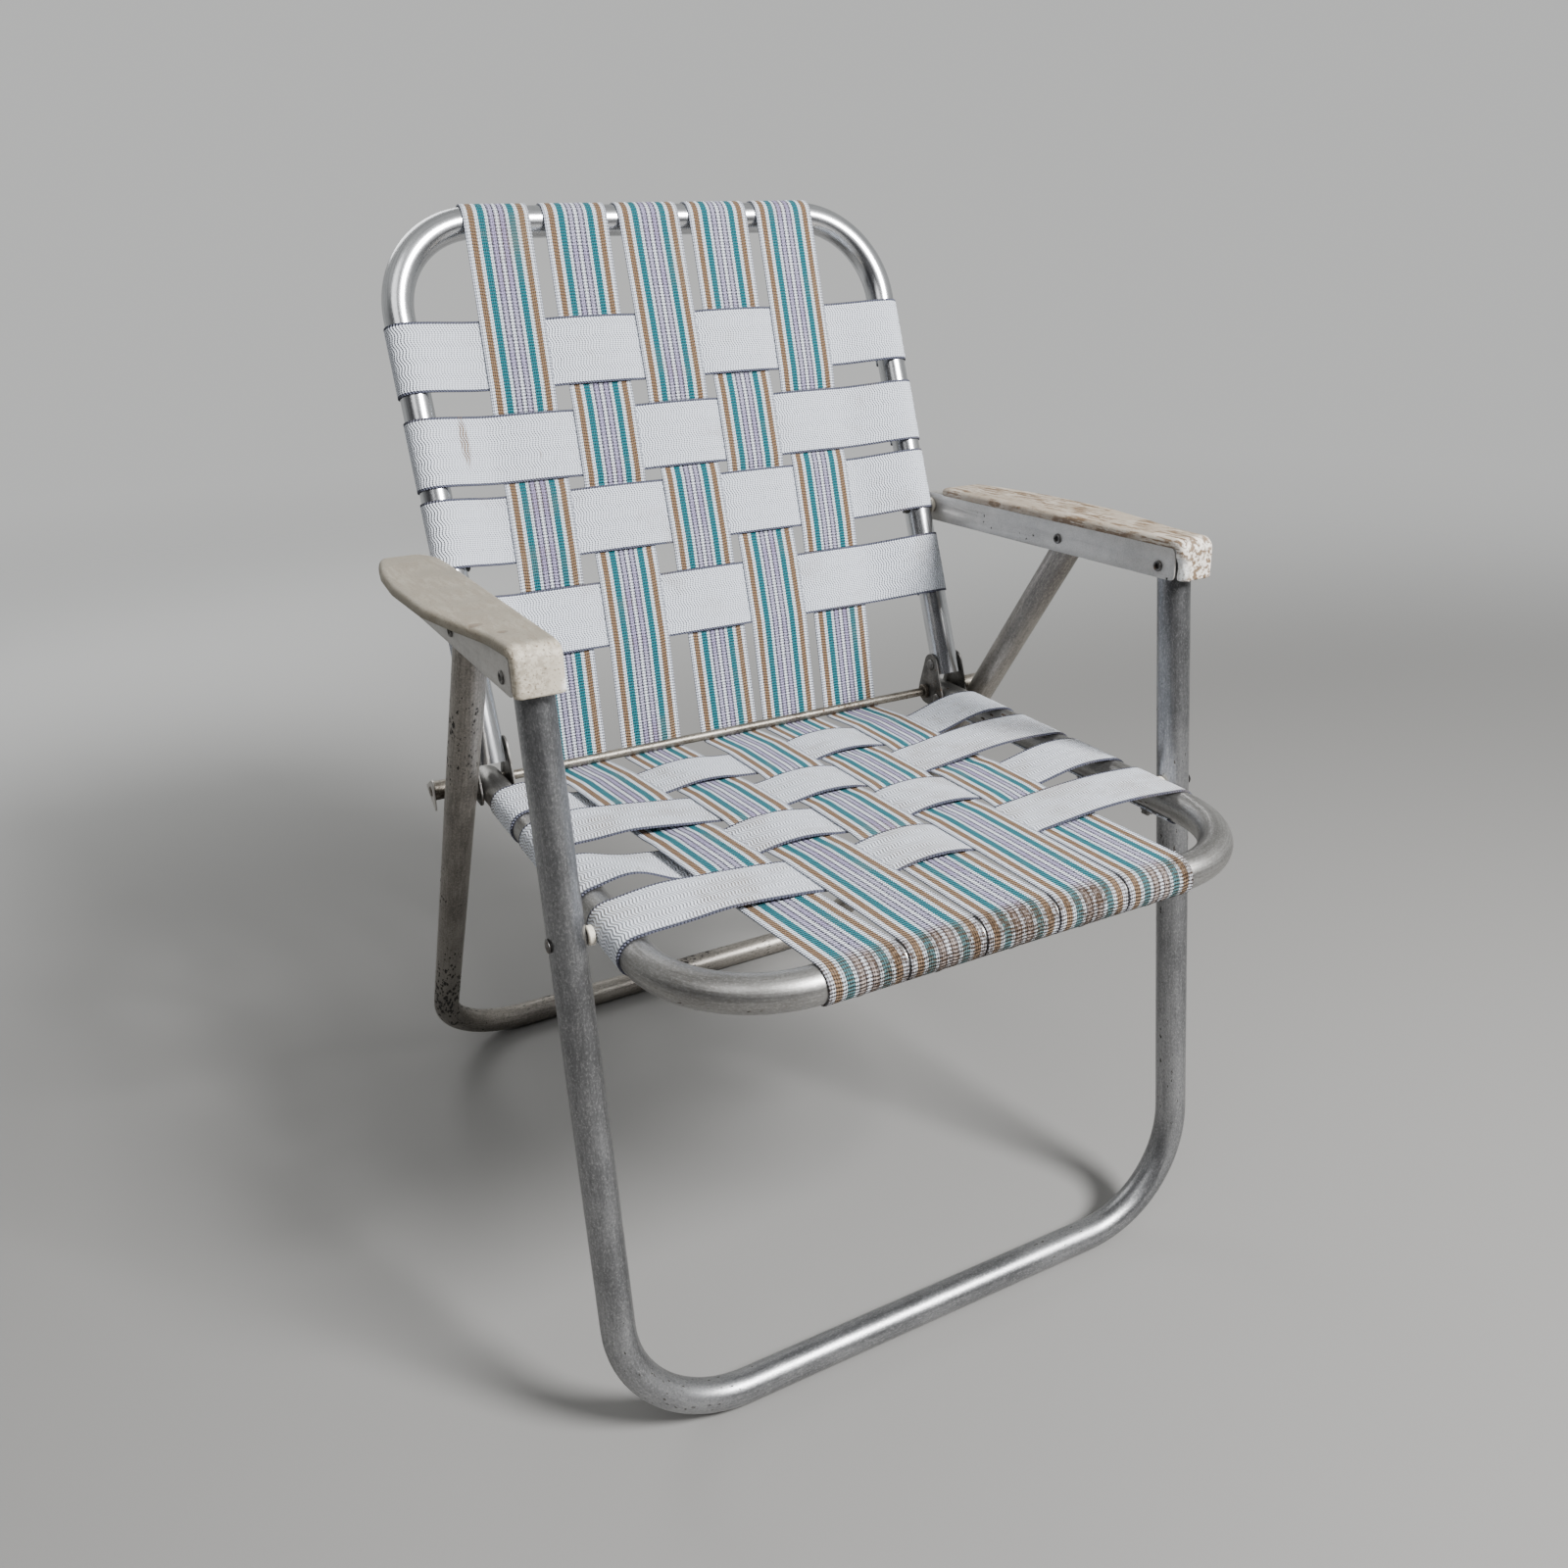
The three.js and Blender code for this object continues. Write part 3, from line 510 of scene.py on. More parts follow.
def plasticMaterial(name, look):
    limits = plasticMarks
    material, tree, shader = newMaterial(name)
    marks = useGroup(tree, blotches, {"Scale": look["cloudScale"], "Speck Scale": look["speckScale"]})
    cloud, speck = marks["Cloud"], marks["Speck"]
    place = coords(tree)["Object"]
    drawn = stretch(place, limits["streakStretch"])
    streak = noise(drawn, limits["streakScale"], detail=8.0, roughness=0.7)["Fac"]
    plastic = blendColour(ramp(cloud, *limits["cloud"]), look["dark"], look["light"])
    nose = ramp(axes(place)["Y"], *limits["nose"])
    plastic = blendColour(times(nose, limits["noseShare"]), plastic, look["clean"])
    stain = times(ramp(cloud, *limits["stainCloud"]), ramp(streak, *limits["stainStreak"]))
    plastic = blendColour(times(stain, look["streakShare"]), plastic, look["streak"])
    plastic = blendColour(ramp(speck, *limits["speck"]), plastic, look["speck"])
    height = speck
    for spot, radius in look["dents"]:
        dent = nearSpot(place, spot, radius)
        plastic = blendColour(times(dent, limits["dentShare"]), plastic, look["speck"])
        height = maths("SUBTRACT", height, times(dent, limits["relief"]))
    for spot, radius in look["breaks"]:
        fresh = times(nearSpot(place, spot, radius), ramp(speck, *limits["freshSpeck"]))
        plastic = blendColour(fresh, plastic, look["fresh"])
        height = timesPlus(times(fresh, streak), limits["relief"], height)
    feed(shader, {
        "Base Color": plastic, "Roughness": timesPlus(cloud, limits["roughSpread"], limits["rough"]),
    })
    setBump(shader, height, limits["bumpStrength"], limits["bumpHigh"])
    return material


plasticLooks = {
    "padLeft": {
        "slot": "cream_plastic", "cloudScale": 25.0, "speckScale": 560.0, "streakShare": 0.42,
        "dark": (0.195, 0.172, 0.128), "light": (0.285, 0.257, 0.202),
        "clean": (0.58, 0.52, 0.42), "fresh": (0.78, 0.77, 0.73),
        "speck": (0.13, 0.095, 0.06), "streak": (0.15, 0.115, 0.075),
        "dents": (((-0.2778, -0.136, 0.6029), 0.0029), ((-0.268, -0.1623, 0.6036), 0.0021)),
        "breaks": (((-0.243, -0.2008, 0.577), 0.004),),
    },
    "padRight": {
        "slot": "cream_plastic", "cloudScale": 30.0, "speckScale": 560.0, "streakShare": 0.95,
        "dark": (0.30, 0.25, 0.19), "light": (0.46, 0.415, 0.35),
        "clean": (0.80, 0.75, 0.68), "fresh": (0.84, 0.84, 0.82),
        "speck": (0.30, 0.20, 0.12), "streak": (0.12, 0.07, 0.032),
        "dents": (), "breaks": (((0.242, -0.199, 0.581), 0.0075),),
    },
    "nylon": {
        "slot": "nylon", "cloudScale": 90.0, "speckScale": 900.0, "streakShare": 0.3,
        "dark": (0.55, 0.51, 0.42), "light": (0.72, 0.68, 0.58),
        "clean": (0.70, 0.66, 0.57), "fresh": (0.8, 0.78, 0.7),
        "speck": (0.45, 0.38, 0.28), "streak": (0.45, 0.38, 0.28),
        "dents": (), "breaks": (),
    },
}

finishes = {}
for makeMaterial, looks in ((metalMaterial, metalLooks), (plasticMaterial, plasticLooks)):
    for name, look in looks.items():
        finishes[name] = {"material": makeMaterial(name, look), "slot": look["slot"]}

# Woven plastic tape. Stripes, lines and selvedge lie at shares of the width, counted from either edge
webbingLook = {
    "white": (0.84, 0.885, 0.97), "cool": (0.60, 0.75, 0.82), "selvedge": (0.022, 0.024, 0.06),
    "tan": (0.215, 0.13, 0.068), "teal": (0.004, 0.145, 0.180), "lavender": (0.34, 0.29, 0.52),
    # hollow is a painted shade colour for the low places of the weave
    "faded": (0.50, 0.48, 0.64), "line": (0.045, 0.044, 0.062), "hollow": (0.13, 0.13, 0.15),
    # grime, and worn where it tones the front bar, are partly real grime and wear and partly painted shade
    "grimeAndShade": (0.055, 0.032, 0.017), "soil": (0.33, 0.26, 0.18), "worn": (0.42, 0.345, 0.275),
    "stain": (0.22, 0.125, 0.05), "stainShape": (1.0, 0.2, 0.2),
    "stripes": (("tan", 0.074, 0.166), ("teal", 0.221, 0.322)), "coolStripe": (0.17, 0.37, 0.02),
    "lavenderStripe": (0.372, 0.472), "lineShares": (0.381, 0.461), "lineHalf": 0.0155,
    "middle": (0.36, 0.56), "selvedgeEdge": (0.039, 0.027), "stripeStep": 0.005, "selvedgeStep": 0.002,
    "ribPitch": 0.0025, "threadPitch": 0.0016, "wavePitch": 0.0125, "dashPitch": 0.0037,
    "ribHigh": 0.65, "threadHigh": 0.35, "relief": 0.0009, "specular": 0.22, "rough": 0.5,
    "roughSpread": 0.25, "cloudScale": 20.0, "speckScale": 420.0, "frontEdge": (-0.324, -0.337),
    "creaseHigh": (0.43, 0.468), "seatHigh": (0.50, 0.45),
}
# Marks on the cloth: the limits between which each comes in, its strength, and what it never falls below
clothMarks = {
    "fade": (0.38, 0.68), "dash": (-0.8, -0.1, 0.4, 0.6), "smudge": (0.60, 0.68, 0.6),
    # The seat's rib valleys take soil that is partly painted shade
    "seatRibSoilShade": (0.3, -0.7), "ribCloud": (0.42, 0.62, 0.5, 0.15), "soil": (0.52, 0.78, 0.28),
    # rub and crowd place the front bar's grime in patches: partly real grime, partly painted shade
    "specks": (0.68, 0.72, 0.8), "rub": (0.40, 0.55, 0.7, 0.3), "crowd": (0.46, 0.56, 0.65, 0.18),
    # Grime in the ribs of the front bar is partly real grime, partly painted shade
    # hollow darkens the low places of the weave with painted shade
    "grimeAndShadeRib": (0.2, -0.8, 0.8), "hollow": (0.0, -0.85, 0.5), "stainRib": (-0.4, 0.6, 0.95),
}
# The worn share tones the front bar: partly wear, partly painted shade
clothShares = {"cool": 0.45, "wornStripe": 0.8, "line": 0.95, "worn": 0.14}
# What only one kind of strap has: the slant and waves of its ribs, the strength of its selvedge, and stains
webbingKinds = {
    "stripedWebbing": {
        "slot": "striped_webbing", "striped": True, "slant": 0.0, "wave": 0.0002, "selvedge": 0.45,
        "stains": (),
    },
    "whiteWebbing": {
        "slot": "white_webbing", "striped": False, "slant": 0.12, "wave": 0.0010, "selvedge": 0.92,
        "stains": (((-0.1966, 0.1551, 0.6738), 0.0026), ((-0.1336, 0.1496, 0.6594), 0.0012)),
    },
}


def clothMark(name, value):
    low, high, *strength = clothMarks[name]
    shape = ramp(value, low, high)
    if len(strength) == 2:
        return timesPlus(shape, *strength)
    return times(shape, *strength)


def between(value, low, high, soft=0.003):
    rising = ramp(value, low - soft, low + soft)
    falling = ramp(value, high - soft, high + soft)
    return maths("SUBTRACT", rising, falling)


def wave(value, pitch):
    return maths("SINE", times(value, 2 * math.pi / pitch))


# The cloth's relief: ribs across in shallow waves, threads along. Gives the height and the ribs' own beat
def makeWeave():
    look = webbingLook
    tree, given, result = newGroup("weave", {"Slant": 0.25, "Wave": 0.0006}, ("Height", "Rib"))
    uv = axes(coords(tree)["UV"])
    across = times(uv["X"], strapWidth)
    swing = times(wave(across, look["wavePitch"]), given["Wave"])
    slanted = timesPlus(across, given["Slant"], swing)
    rib = wave(maths("ADD", uv["Y"], slanted), look["ribPitch"])
    thread = wave(across, look["threadPitch"])
    height = timesPlus(rib, look["ribHigh"], times(thread, look["threadHigh"]))
    feed(result, {"Height": height, "Rib": rib})
    return tree


weave = makeWeave()


# Stripes with edges stepped by the ribs. The lavender ones have faded in places and worn to beige on the
# front bar, and a broken dark thread lines their edges. Dark specks lie along the middle and in the crease
def stripedCloth(fromEdge, along, high, front, woven, marks):
    look = webbingLook
    stepped = timesPlus(woven["Rib"], look["stripeStep"], fromEdge)
    cool = times(between(fromEdge, *look["coolStripe"]), clothShares["cool"])
    cloth = blendColour(cool, look["white"], look["cool"])
    for stripe, low, up in look["stripes"]:
        cloth = blendColour(between(stepped, low, up), cloth, look[stripe])
    lavender = blendColour(clothMark("fade", marks["Cloud"]), look["faded"], look["lavender"])
    lavender = blendColour(times(front, clothShares["wornStripe"]), lavender, look["worn"])
    cloth = blendColour(between(stepped, *look["lavenderStripe"]), cloth, lavender)
    dash = clothMark("dash", wave(along, look["dashPitch"]))
    for share in look["lineShares"]:
        line = between(stepped, share - look["lineHalf"], share + look["lineHalf"])
        cloth = blendColour(times(line, dash, clothShares["line"]), cloth, look["line"])
    gathered = maths("MAXIMUM", between(fromEdge, *look["middle"]), between(high, *look["creaseHigh"]))
    return blendColour(times(gathered, clothMark("smudge", marks["Speck"])), cloth, look["line"])


# White cloth: brown soil in the ribs of the seat straps, more of it in places; in part it is painted shade
# between the seat's ribs
def whiteCloth(high, woven, marks):
    look = webbingLook
    # Partly painted shade: the seat straps darken in their rib valleys
    seatRibSoilAndShade = times(ramp(high, *look["seatHigh"]), clothMark("seatRibSoilShade", woven["Rib"]))
    return blendColour(times(seatRibSoilAndShade, clothMark("ribCloud", marks["Cloud"])), look["white"], look["soil"])


# Soil in clouds all over, a few dark specks, and over the front bar a worn tone and brown grime in patches
# and in the ribs, partly real grime and partly painted shade
def soiledCloth(cloth, front, woven, marks):
    frontGrimeAndShade = times(front, clothMark("rub", marks["Speck"]))
    # Over the front bar the worn tone and the grime are partly painted shade, darkening it as if out of the
    # light
    layers = (
        ("soil", clothMark("soil", marks["Cloud"])),
        ("line", clothMark("specks", marks["Speck"])),
        ("worn", times(front, clothShares["worn"])),
        ("grimeAndShade", times(frontGrimeAndShade, clothMark("crowd", marks["Cloud"]))),
        ("grimeAndShade", times(frontGrimeAndShade, clothMark("grimeAndShadeRib", woven["Rib"]))),
    )
    for layer, share in layers:
        cloth = blendColour(share, cloth, webbingLook[layer])
    return cloth


def webbingMaterial(name, kind):
    look = webbingLook
    material, tree, shader = newMaterial(name)
    uv = axes(coords(tree)["UV"])
    place = coords(tree)["Object"]
    at = axes(place)
    fromMiddle = maths("ABSOLUTE", maths("SUBTRACT", uv["X"], 0.5))
    fromEdge = maths("SUBTRACT", 0.5, fromMiddle)
    marks = useGroup(tree, blotches, {"Scale": look["cloudScale"], "Speck Scale": look["speckScale"]})
    woven = useGroup(tree, weave, {"Slant": kind["slant"], "Wave": kind["wave"]})
    front = ramp(at["Y"], *look["frontEdge"])
    if kind["striped"]:
        cloth = stripedCloth(fromEdge, uv["Y"], at["Z"], front, woven, marks)
    else:
        cloth = whiteCloth(at["Z"], woven, marks)
    edge = timesPlus(woven["Rib"], look["selvedgeStep"], fromEdge)
    selvedge = times(ramp(edge, *look["selvedgeEdge"]), kind["selvedge"])
    cloth = blendColour(selvedge, cloth, look["selvedge"])
    # Painted shade: the low places of the weave are darkened, as if shaded between the ribs
    cloth = blendColour(clothMark("hollow", woven["Height"]), cloth, look["hollow"])
    cloth = soiledCloth(cloth, front, woven, marks)
    for spot, radius in kind["stains"]:
        drawnOut = stretch(place, look["stainShape"])
        centre = [along * scale for along, scale in zip(spot, look["stainShape"])]
        stain = times(nearSpot(drawnOut, centre, radius), clothMark("stainRib", woven["Rib"]))
        cloth = blendColour(stain, cloth, look["stain"])
    feed(shader, {
        "Base Color": cloth, "Roughness": timesPlus(marks["Speck"], look["roughSpread"], look["rough"]),
        "Specular IOR Level": look["specular"],
    })
    setBump(shader, woven["Height"], 1.0, look["relief"])
    return material


for name, kind in webbingKinds.items():
    finishes[name] = {"material": webbingMaterial(name, kind), "slot": kind["slot"]}
print("finishes made:", len(finishes))

# Tubes: a circle drawn along the straights and spun round the bends
tubeStock = {"radius": 0.0127, "wall": 0.0013, "sides": 40, "bendSteps": 20, "markStep": 0.002}


# Where each point lay before the tube was bent, so that marks of drawing follow the bends
def keepStraightPlace(tube, stations):
    line = np.array(stations)
    lengths = lengthsAlong(line)
    along = np.arange(0, lengths[-1], tubeStock["markStep"])
    line = pointsAt(along, lengths, line)
    heading = headings(line)
    points = np.array([vertex.co for vertex in tube.data.vertices])
    nearest = [int(np.argmin(((line - point) ** 2).sum(axis=1))) for point in points]
    offset = points - line[nearest]
    sideways = np.cross(heading[nearest], (0.0, 0.0, 1.0))
    ahead = (offset * heading[nearest]).sum(axis=1)
    straight = np.column_stack([(offset * sideways).sum(axis=1), offset[:, 2], along[nearest] + ahead])
    attribute = tube.data.attributes.new("straight", "FLOAT_VECTOR", "POINT")
    attribute.data.foreach_set("vector", straight.ravel())


def drawOut(step):
    bpy.ops.mesh.extrude_region_move(TRANSFORM_OT_translate={"value": step})


def bentTube(name, corners, bendRadius):
    clearSelection()
    points = [Vector((x, y, 0)) for x, y in corners]
    heading = (points[1] - points[0]).normalized()
    bpy.ops.mesh.primitive_circle_add(
        vertices=tubeStock["sides"], radius=tubeStock["radius"], location=points[0],
        rotation=heading.to_track_quat("Z", "Y").to_euler(),
    )
    tube = nameNew(name)
    applyPlace(tube)
    openMesh(tube)
    reached = points[0]
    stations = [points[0]]
    for before, corner, after in zip(points, points[1:], points[2:]):
        heading = (corner - before).normalized()
        leaving = (after - corner).normalized()
        turn = heading.angle(leaving)
        axis = heading.cross(leaving).normalized()
        setback = bendRadius * math.tan(turn / 2)
        bendStart = corner - heading * setback
        bendCentre = bendStart + axis.cross(heading) * bendRadius
        drawOut(bendStart - reached)
        bpy.ops.mesh.spin(steps=tubeStock["bendSteps"], angle=-turn, axis=axis, center=bendCentre)
        for step in range(tubeStock["bendSteps"] + 1):
            turned = Matrix.Rotation(turn * step / tubeStock["bendSteps"], 3, axis)
            stations.append(bendCentre + turned @ (bendStart - bendCentre))
        reached = corner + leaving * setback
    drawOut(points[-1] - reached)
    closeSeams()
    applyModifier(tube, "SOLIDIFY", thickness=tubeStock["wall"], offset=-1)
    keepStraightPlace(tube, stations + [points[-1]])
    shadeRound(tube)
    return tube


def uCorners(halfAtBar, halfAtEnds, bar, ends):
    return [(-halfAtEnds, ends), (-halfAtBar, bar), (halfAtBar, bar), (halfAtEnds, ends)]


tubes = {
    "back_tube": {
        "plane": "back", "node": "back_frame", "finish": "polishedTube", "bend": 0.076,
        "corners": uCorners(frameHalf, frameHalf, 0.429, -0.011),
    },
    "seat_tube": {
        "plane": "seat", "node": "seat_frame", "finish": "seatTube", "bend": 0.082,
        "corners": uCorners(frameHalf, frameHalf, 0.0, 0.427),
    },
    "front_leg_tube": {
        "plane": "frontLeg", "node": "front_leg", "finish": "weatheredTube", "bend": 0.095,
        "corners": uCorners(0.261, 0.258, 0.0, 0.576),
    },
    "rear_leg_tube": {
        "plane": "rearLeg", "node": "rear_leg", "finish": "pittedTube", "bend": 0.095,
        "corners": uCorners(0.252, 0.261, 0.0, 0.6932),
    },
}
for name, spec in tubes.items():
    tube = bentTube(name, spec["corners"], spec["bend"])
    standIn(tube, planes[spec["plane"]])
    standFor(tube, finishes[spec["finish"]], spec["node"])
print("tubes bent:", len(tubes))


# Turned pieces lie along X: a circle drawn along and scaled through each (x, radius) of the profile
def turnedPiece(name, profile, place, sides=28, hollow=False):
    clearSelection()
    x, radius = profile[0]
    bpy.ops.mesh.primitive_circle_add(
        vertices=sides, radius=radius, location=(x, 0, 0), rotation=(0, math.pi / 2, 0),
        fill_type="NOTHING" if hollow else "NGON",
    )
    turned = nameNew(name)
    applyPlace(turned)
    openMesh(turned)
    for (x, radius), (nextX, nextRadius) in zip(profile, profile[1:]):
        drawOut((nextX - x, 0, 0))
        grow = nextRadius / radius
        bpy.ops.transform.resize(value=(1, grow, grow))
    closeSeams()
    turned.location = place
    applyPlace(turned)
    shadeRound(turned, degrees=32)
    return turned


# A profile's points from steps that are shares of a rise along X and of a radius
def inSteps(x, rise, radius, steps):
    return [(x + rise * up, radius * wide) for up, wide in steps]


def ringProfile(fromX, toX, outer, bore, chamfer):
    return [
        (fromX, bore), (fromX, outer - chamfer), (fromX + chamfer, outer),
        (toX - chamfer, outer), (toX, outer - chamfer), (toX, bore), (fromX, bore),
    ]


# A domed head, and a tubular rivet's rim: rolled over and hollow in the middle
domedHead = ((0, 1.0), (0.15, 1.0), (0.45, 0.9), (0.85, 0.62), (1.0, 0.3))
rolledHead = ((0, 1.0), (0.3, 1.0), (0.75, 0.88), (0.8, 0.72), (0.55, 0.56), (-0.9, 0.5), (-0.9, 0.1))
rivetShapes = {
    "solid": {"shank": 0.0025, "head": 0.0052, "dome": 0.0022, "steps": domedHead},
    "flat": {"shank": 0.0025, "head": 0.0050, "dome": 0.0013, "steps": domedHead},
    "tubular": {"shank": 0.0022, "head": 0.0043, "dome": 0.0016, "steps": rolledHead},
}


def rivetProfile(fromX, toX, shank, head, dome, steps):
    near = inSteps(fromX, -dome, head, steps)
    far = inSteps(toX, dome, head, steps)
    return near[::-1] + [(fromX, shank), (toX, shank)] + far


sidePlaces = {
    "hinge": (0, 0.0796, 0.435), "rail": (0, 0.068, 0.4034), "rod": (0, 0.087, 0.4062),
    "seatPivot": (0, -0.2047, 0.406), "armFront": (0, -0.1809, 0.5812),
    "armMiddle": (0, -0.0599, 0.58011), "armRear": (0, 0.1299, 0.5784),
}
rivets = {
    "hinge_pivot_rivet": {"place": "hinge", "from": 0.2114, "to": 0.2416, "shape": "solid"},
    "hinge_rail_rivet": {"place": "rail", "from": 0.2114, "to": 0.2416, "shape": "solid"},
    "seat_pivot_rivet": {"place": "seatPivot", "from": 0.2133, "to": 0.2722, "shape": "flat"},
    "arm_front_rivet": {"place": "armFront", "from": 0.2427, "to": 0.2763, "shape": "tubular"},
    "arm_middle_rivet": {"place": "armMiddle", "from": 0.2427, "to": 0.2763, "shape": "tubular"},
    "arm_rear_rivet": {"place": "armRear", "from": 0.2133, "to": 0.2445, "shape": "solid"},
}
rings = {
    "rod_collar": {
        "place": "rod", "from": 0.20735, "to": 0.21135,
        "outer": 0.007, "bore": 0.0043, "finish": "rustySteel",
    },
    "rear_leg_stop": {
        "place": "rod", "from": 0.24195, "to": 0.27395,
        "outer": 0.008, "bore": 0.0043, "finish": "rustySteel",
    },
    "seat_pivot_spacer": {
        "place": "seatPivot", "from": 0.2415, "to": 0.2457,
        "outer": 0.0068, "bore": 0.0028, "finish": "nylon",
    },
    "arm_rear_washer": {
        "place": "armRear", "from": 0.23975, "to": 0.2427,
        "outer": 0.007, "bore": 0.0028, "finish": "nylon",
    },
}
ringChamfer = 0.0005


def turnedOnSide(name, side, spec, profile, finish, hollow):
    node = f"{name}_{sideNames[side]}"
    mirrored = [(side * x, radius) for x, radius in profile]
    turned = turnedPiece(f"{node}_turned", mirrored, sidePlaces[spec["place"]], hollow=hollow)
    standFor(turned, finishes[finish], node)


for side in sideNames:
    for name, spec in rivets.items():
        profile = rivetProfile(spec["from"], spec["to"], **rivetShapes[spec["shape"]])
        turnedOnSide(name, side, spec, profile, "darkSteel", hollow=False)
    for name, spec in rings.items():
        profile = ringProfile(spec["from"], spec["to"], spec["outer"], spec["bore"], ringChamfer)
        turnedOnSide(name, side, spec, profile, spec["finish"], hollow=True)

rodShape = {"half": 0.27675, "radius": 0.004, "chamfer": 0.0006}
rodProfile = [
    (-rodShape["half"], rodShape["radius"] - rodShape["chamfer"]),
    (-rodShape["half"] + rodShape["chamfer"], rodShape["radius"]),
    (rodShape["half"] - rodShape["chamfer"], rodShape["radius"]),
    (rodShape["half"], rodShape["radius"] - rodShape["chamfer"]),
]
rod = turnedPiece("crease_rod_turned", rodProfile, sidePlaces["rod"])
standFor(rod, finishes["rustySteel"], "crease_rod")
print("rivets, rings and rod turned")

# Webbing: each frame has rows of cross straps and a bar that the lengthwise straps go round
webbing = {
    "thickness": 0.0012, "columns": 14, "step": 0.003, "settle": 0.008, "ride": 0.0138, "rodRide": 0.0056,
    "wrap": 210, "crossWrap": 235, "rodWrap": (-20, -104), "aboveRod": 0.01, "behindRod": 0.004,
    "lift": 0.0008, "crossPull": 0.2, "endRun": 0.03,
    "rows": {"back": (0.3185, 0.2425, 0.177, 0.0965), "seat": (0.3395, 0.263, 0.191, 0.113)},
    "bar": {"back": 0.429, "seat": 0.0},
    "atBar": {"back": (-0.134, -0.066, 0.0, 0.066, 0.132), "seat": (-0.116, -0.058, 0.0, 0.058, 0.116)},
    "atRod": (-0.148, -0.077, 0.0, 0.063, 0.128),
}
# A striped strap turns with the fold between these two points
hingeRun = {"start": (0, 0.0885, 0.4979), "end": (0, 0.0535, 0.4059)}
crossingHalf = strapWidth / 2 + 0.0004  # a little wider than half the strap it crosses
rodPlace = sidePlaces["rod"][1:]
rodIn = {planeName: inPlane(planes[planeName], *rodPlace) for planeName in webbing["rows"]}

# The straight pull of the lengthwise straps draws the rows in from the face of the tubes, and tilts them
pulls = {
    "back": (
        (webbing["bar"]["back"], webbing["ride"]),
        (rodIn["back"][0] + webbing["aboveRod"], rodIn["back"][1] - webbing["behindRod"]),
    ),
    "seat": (
        (rodIn["seat"][0], rodIn["seat"][1] - webbing["rodRide"]),
        (webbing["bar"]["seat"], webbing["ride"]),
    ),
}


def pulledDepth(planeName, place):
    (fromPlace, fromDepth), (toPlace, toDepth) = pulls[planeName]
    straight = mix(fromDepth, toDepth, (place - fromPlace) / (toPlace - fromPlace))
    return mix(straight, webbing["ride"], webbing["crossPull"])


def pulledTilt(planeName):
    return math.atan(pulledDepth(planeName, 1) - pulledDepth(planeName, 0))


def lengthwiseOnTop(strap, row):
    return (strap + row) % 2 == 0


# The middles of the lengthwise straps at one place along a frame: they drift from the bar to the rod
def strapsAcross(planeName, place):
    bar = webbing["bar"][planeName]
    share = (bar - place) / (bar - rodIn[planeName][0])
    return [mix(atBar, atRod, share) for atBar, atRod in zip(webbing["atBar"][planeName], webbing["atRod"])]


# A grid laid along a centre line, its columns spread sideways, then given its thickness
def webbingStrip(name, centres, sideways):
    clearSelection()
    lengths = lengthsAlong(centres)
    total = float(lengths[-1])
    rows = round(total / webbing["step"])
    bpy.ops.mesh.primitive_grid_add(x_subdivisions=webbing["columns"], y_subdivisions=rows, size=1)
    strip = nameNew(name)
    mesh = strip.data
    flat = np.empty(len(mesh.vertices) * 3)
    mesh.vertices.foreach_get("co", flat)
    flat = flat.reshape(-1, 3)
    reached = (flat[:, 1] + 0.5) * total
    spread = pointsAt(reached, lengths, sideways) * (flat[:, 0] * strapWidth)[:, None]
    laid = pointsAt(reached, lengths, centres) + spread
    mesh.vertices.foreach_set("co", laid.ravel())
    uv = np.empty(len(mesh.loops) * 2)
    mesh.uv_layers.active.data.foreach_get("uv", uv)
    uv = uv.reshape(-1, 2)
    uv[:, 1] *= total
    mesh.uv_layers.active.data.foreach_set("uv", uv.ravel())
    mesh.update()
    applyModifier(strip, "SOLIDIFY", thickness=webbing["thickness"], offset=0)
    shadeRound(strip, degrees=50)
    return strip, total


# Cross straps: round one tube, over and under the lengthwise straps, round the other tube.
# The seat has been sat in: its straps arch, dip under the first lengthwise strap, and twist where free
crossSettle = {
    "back": {"arch": 0.001, "dip": 0.0, "crown": 0.0, "twists": (0, 0, 0, 0)},
    "seat": {"arch": 0.0032, "dip": 0.005, "crown": 0.004, "twists": (5, 3, -9, 3)},
}
runPoints = 14
crossingPoints = 9


# From the top of a tube to the first crossing, crowned between
def freeRun(fromX, toX, toDepth, crown):
    shares = np.linspace(0, 1, runPoints)[1:-1]
    heights = mix(webbing["ride"], toDepth, eased(shares)) + crown * np.sin(np.pi * shares)
    return list(zip(mix(fromX, toX, shares), heights))


# Where the straps are crowned, the free run goes on over the outermost crossing to its inner edge
def crossLine(row, depth, across, settle):
    outwards = {0: -1, len(across) - 1: 1}
    woven = []
    for strap, middle in enumerate(across):
        onTop = not lengthwiseOnTop(strap, row)
        lift = webbing["lift"] if onTop else -webbing["lift"]
        runsOn = onTop and strap in outwards and settle["crown"] > 0
        for share in np.linspace(-1, 1, crossingPoints):
            arch = settle["arch"] * (1 - share * share) if onTop else 0
            dip = settle["dip"] * (1 - max(share, 0) ** 2) if strap == 0 and not onTop else 0
            if not runsOn or share * outwards[strap] == -1:
                woven.append((middle + share * crossingHalf, depth + lift + arch - dip))
    leftRun = freeRun(-frameHalf, *woven[0], settle["crown"])
    rightRun = freeRun(frameHalf, *woven[-1], settle["crown"])
    leftWrap = arcPoints((-frameHalf, 0), webbing["ride"], 90 + webbing["crossWrap"], 90)
    rightWrap = arcPoints((frameHalf, 0), webbing["ride"], 90, 90 - webbing["crossWrap"])
    return settledLine(leftWrap + leftRun + woven + rightRun[::-1] + rightWrap, webbing["settle"])


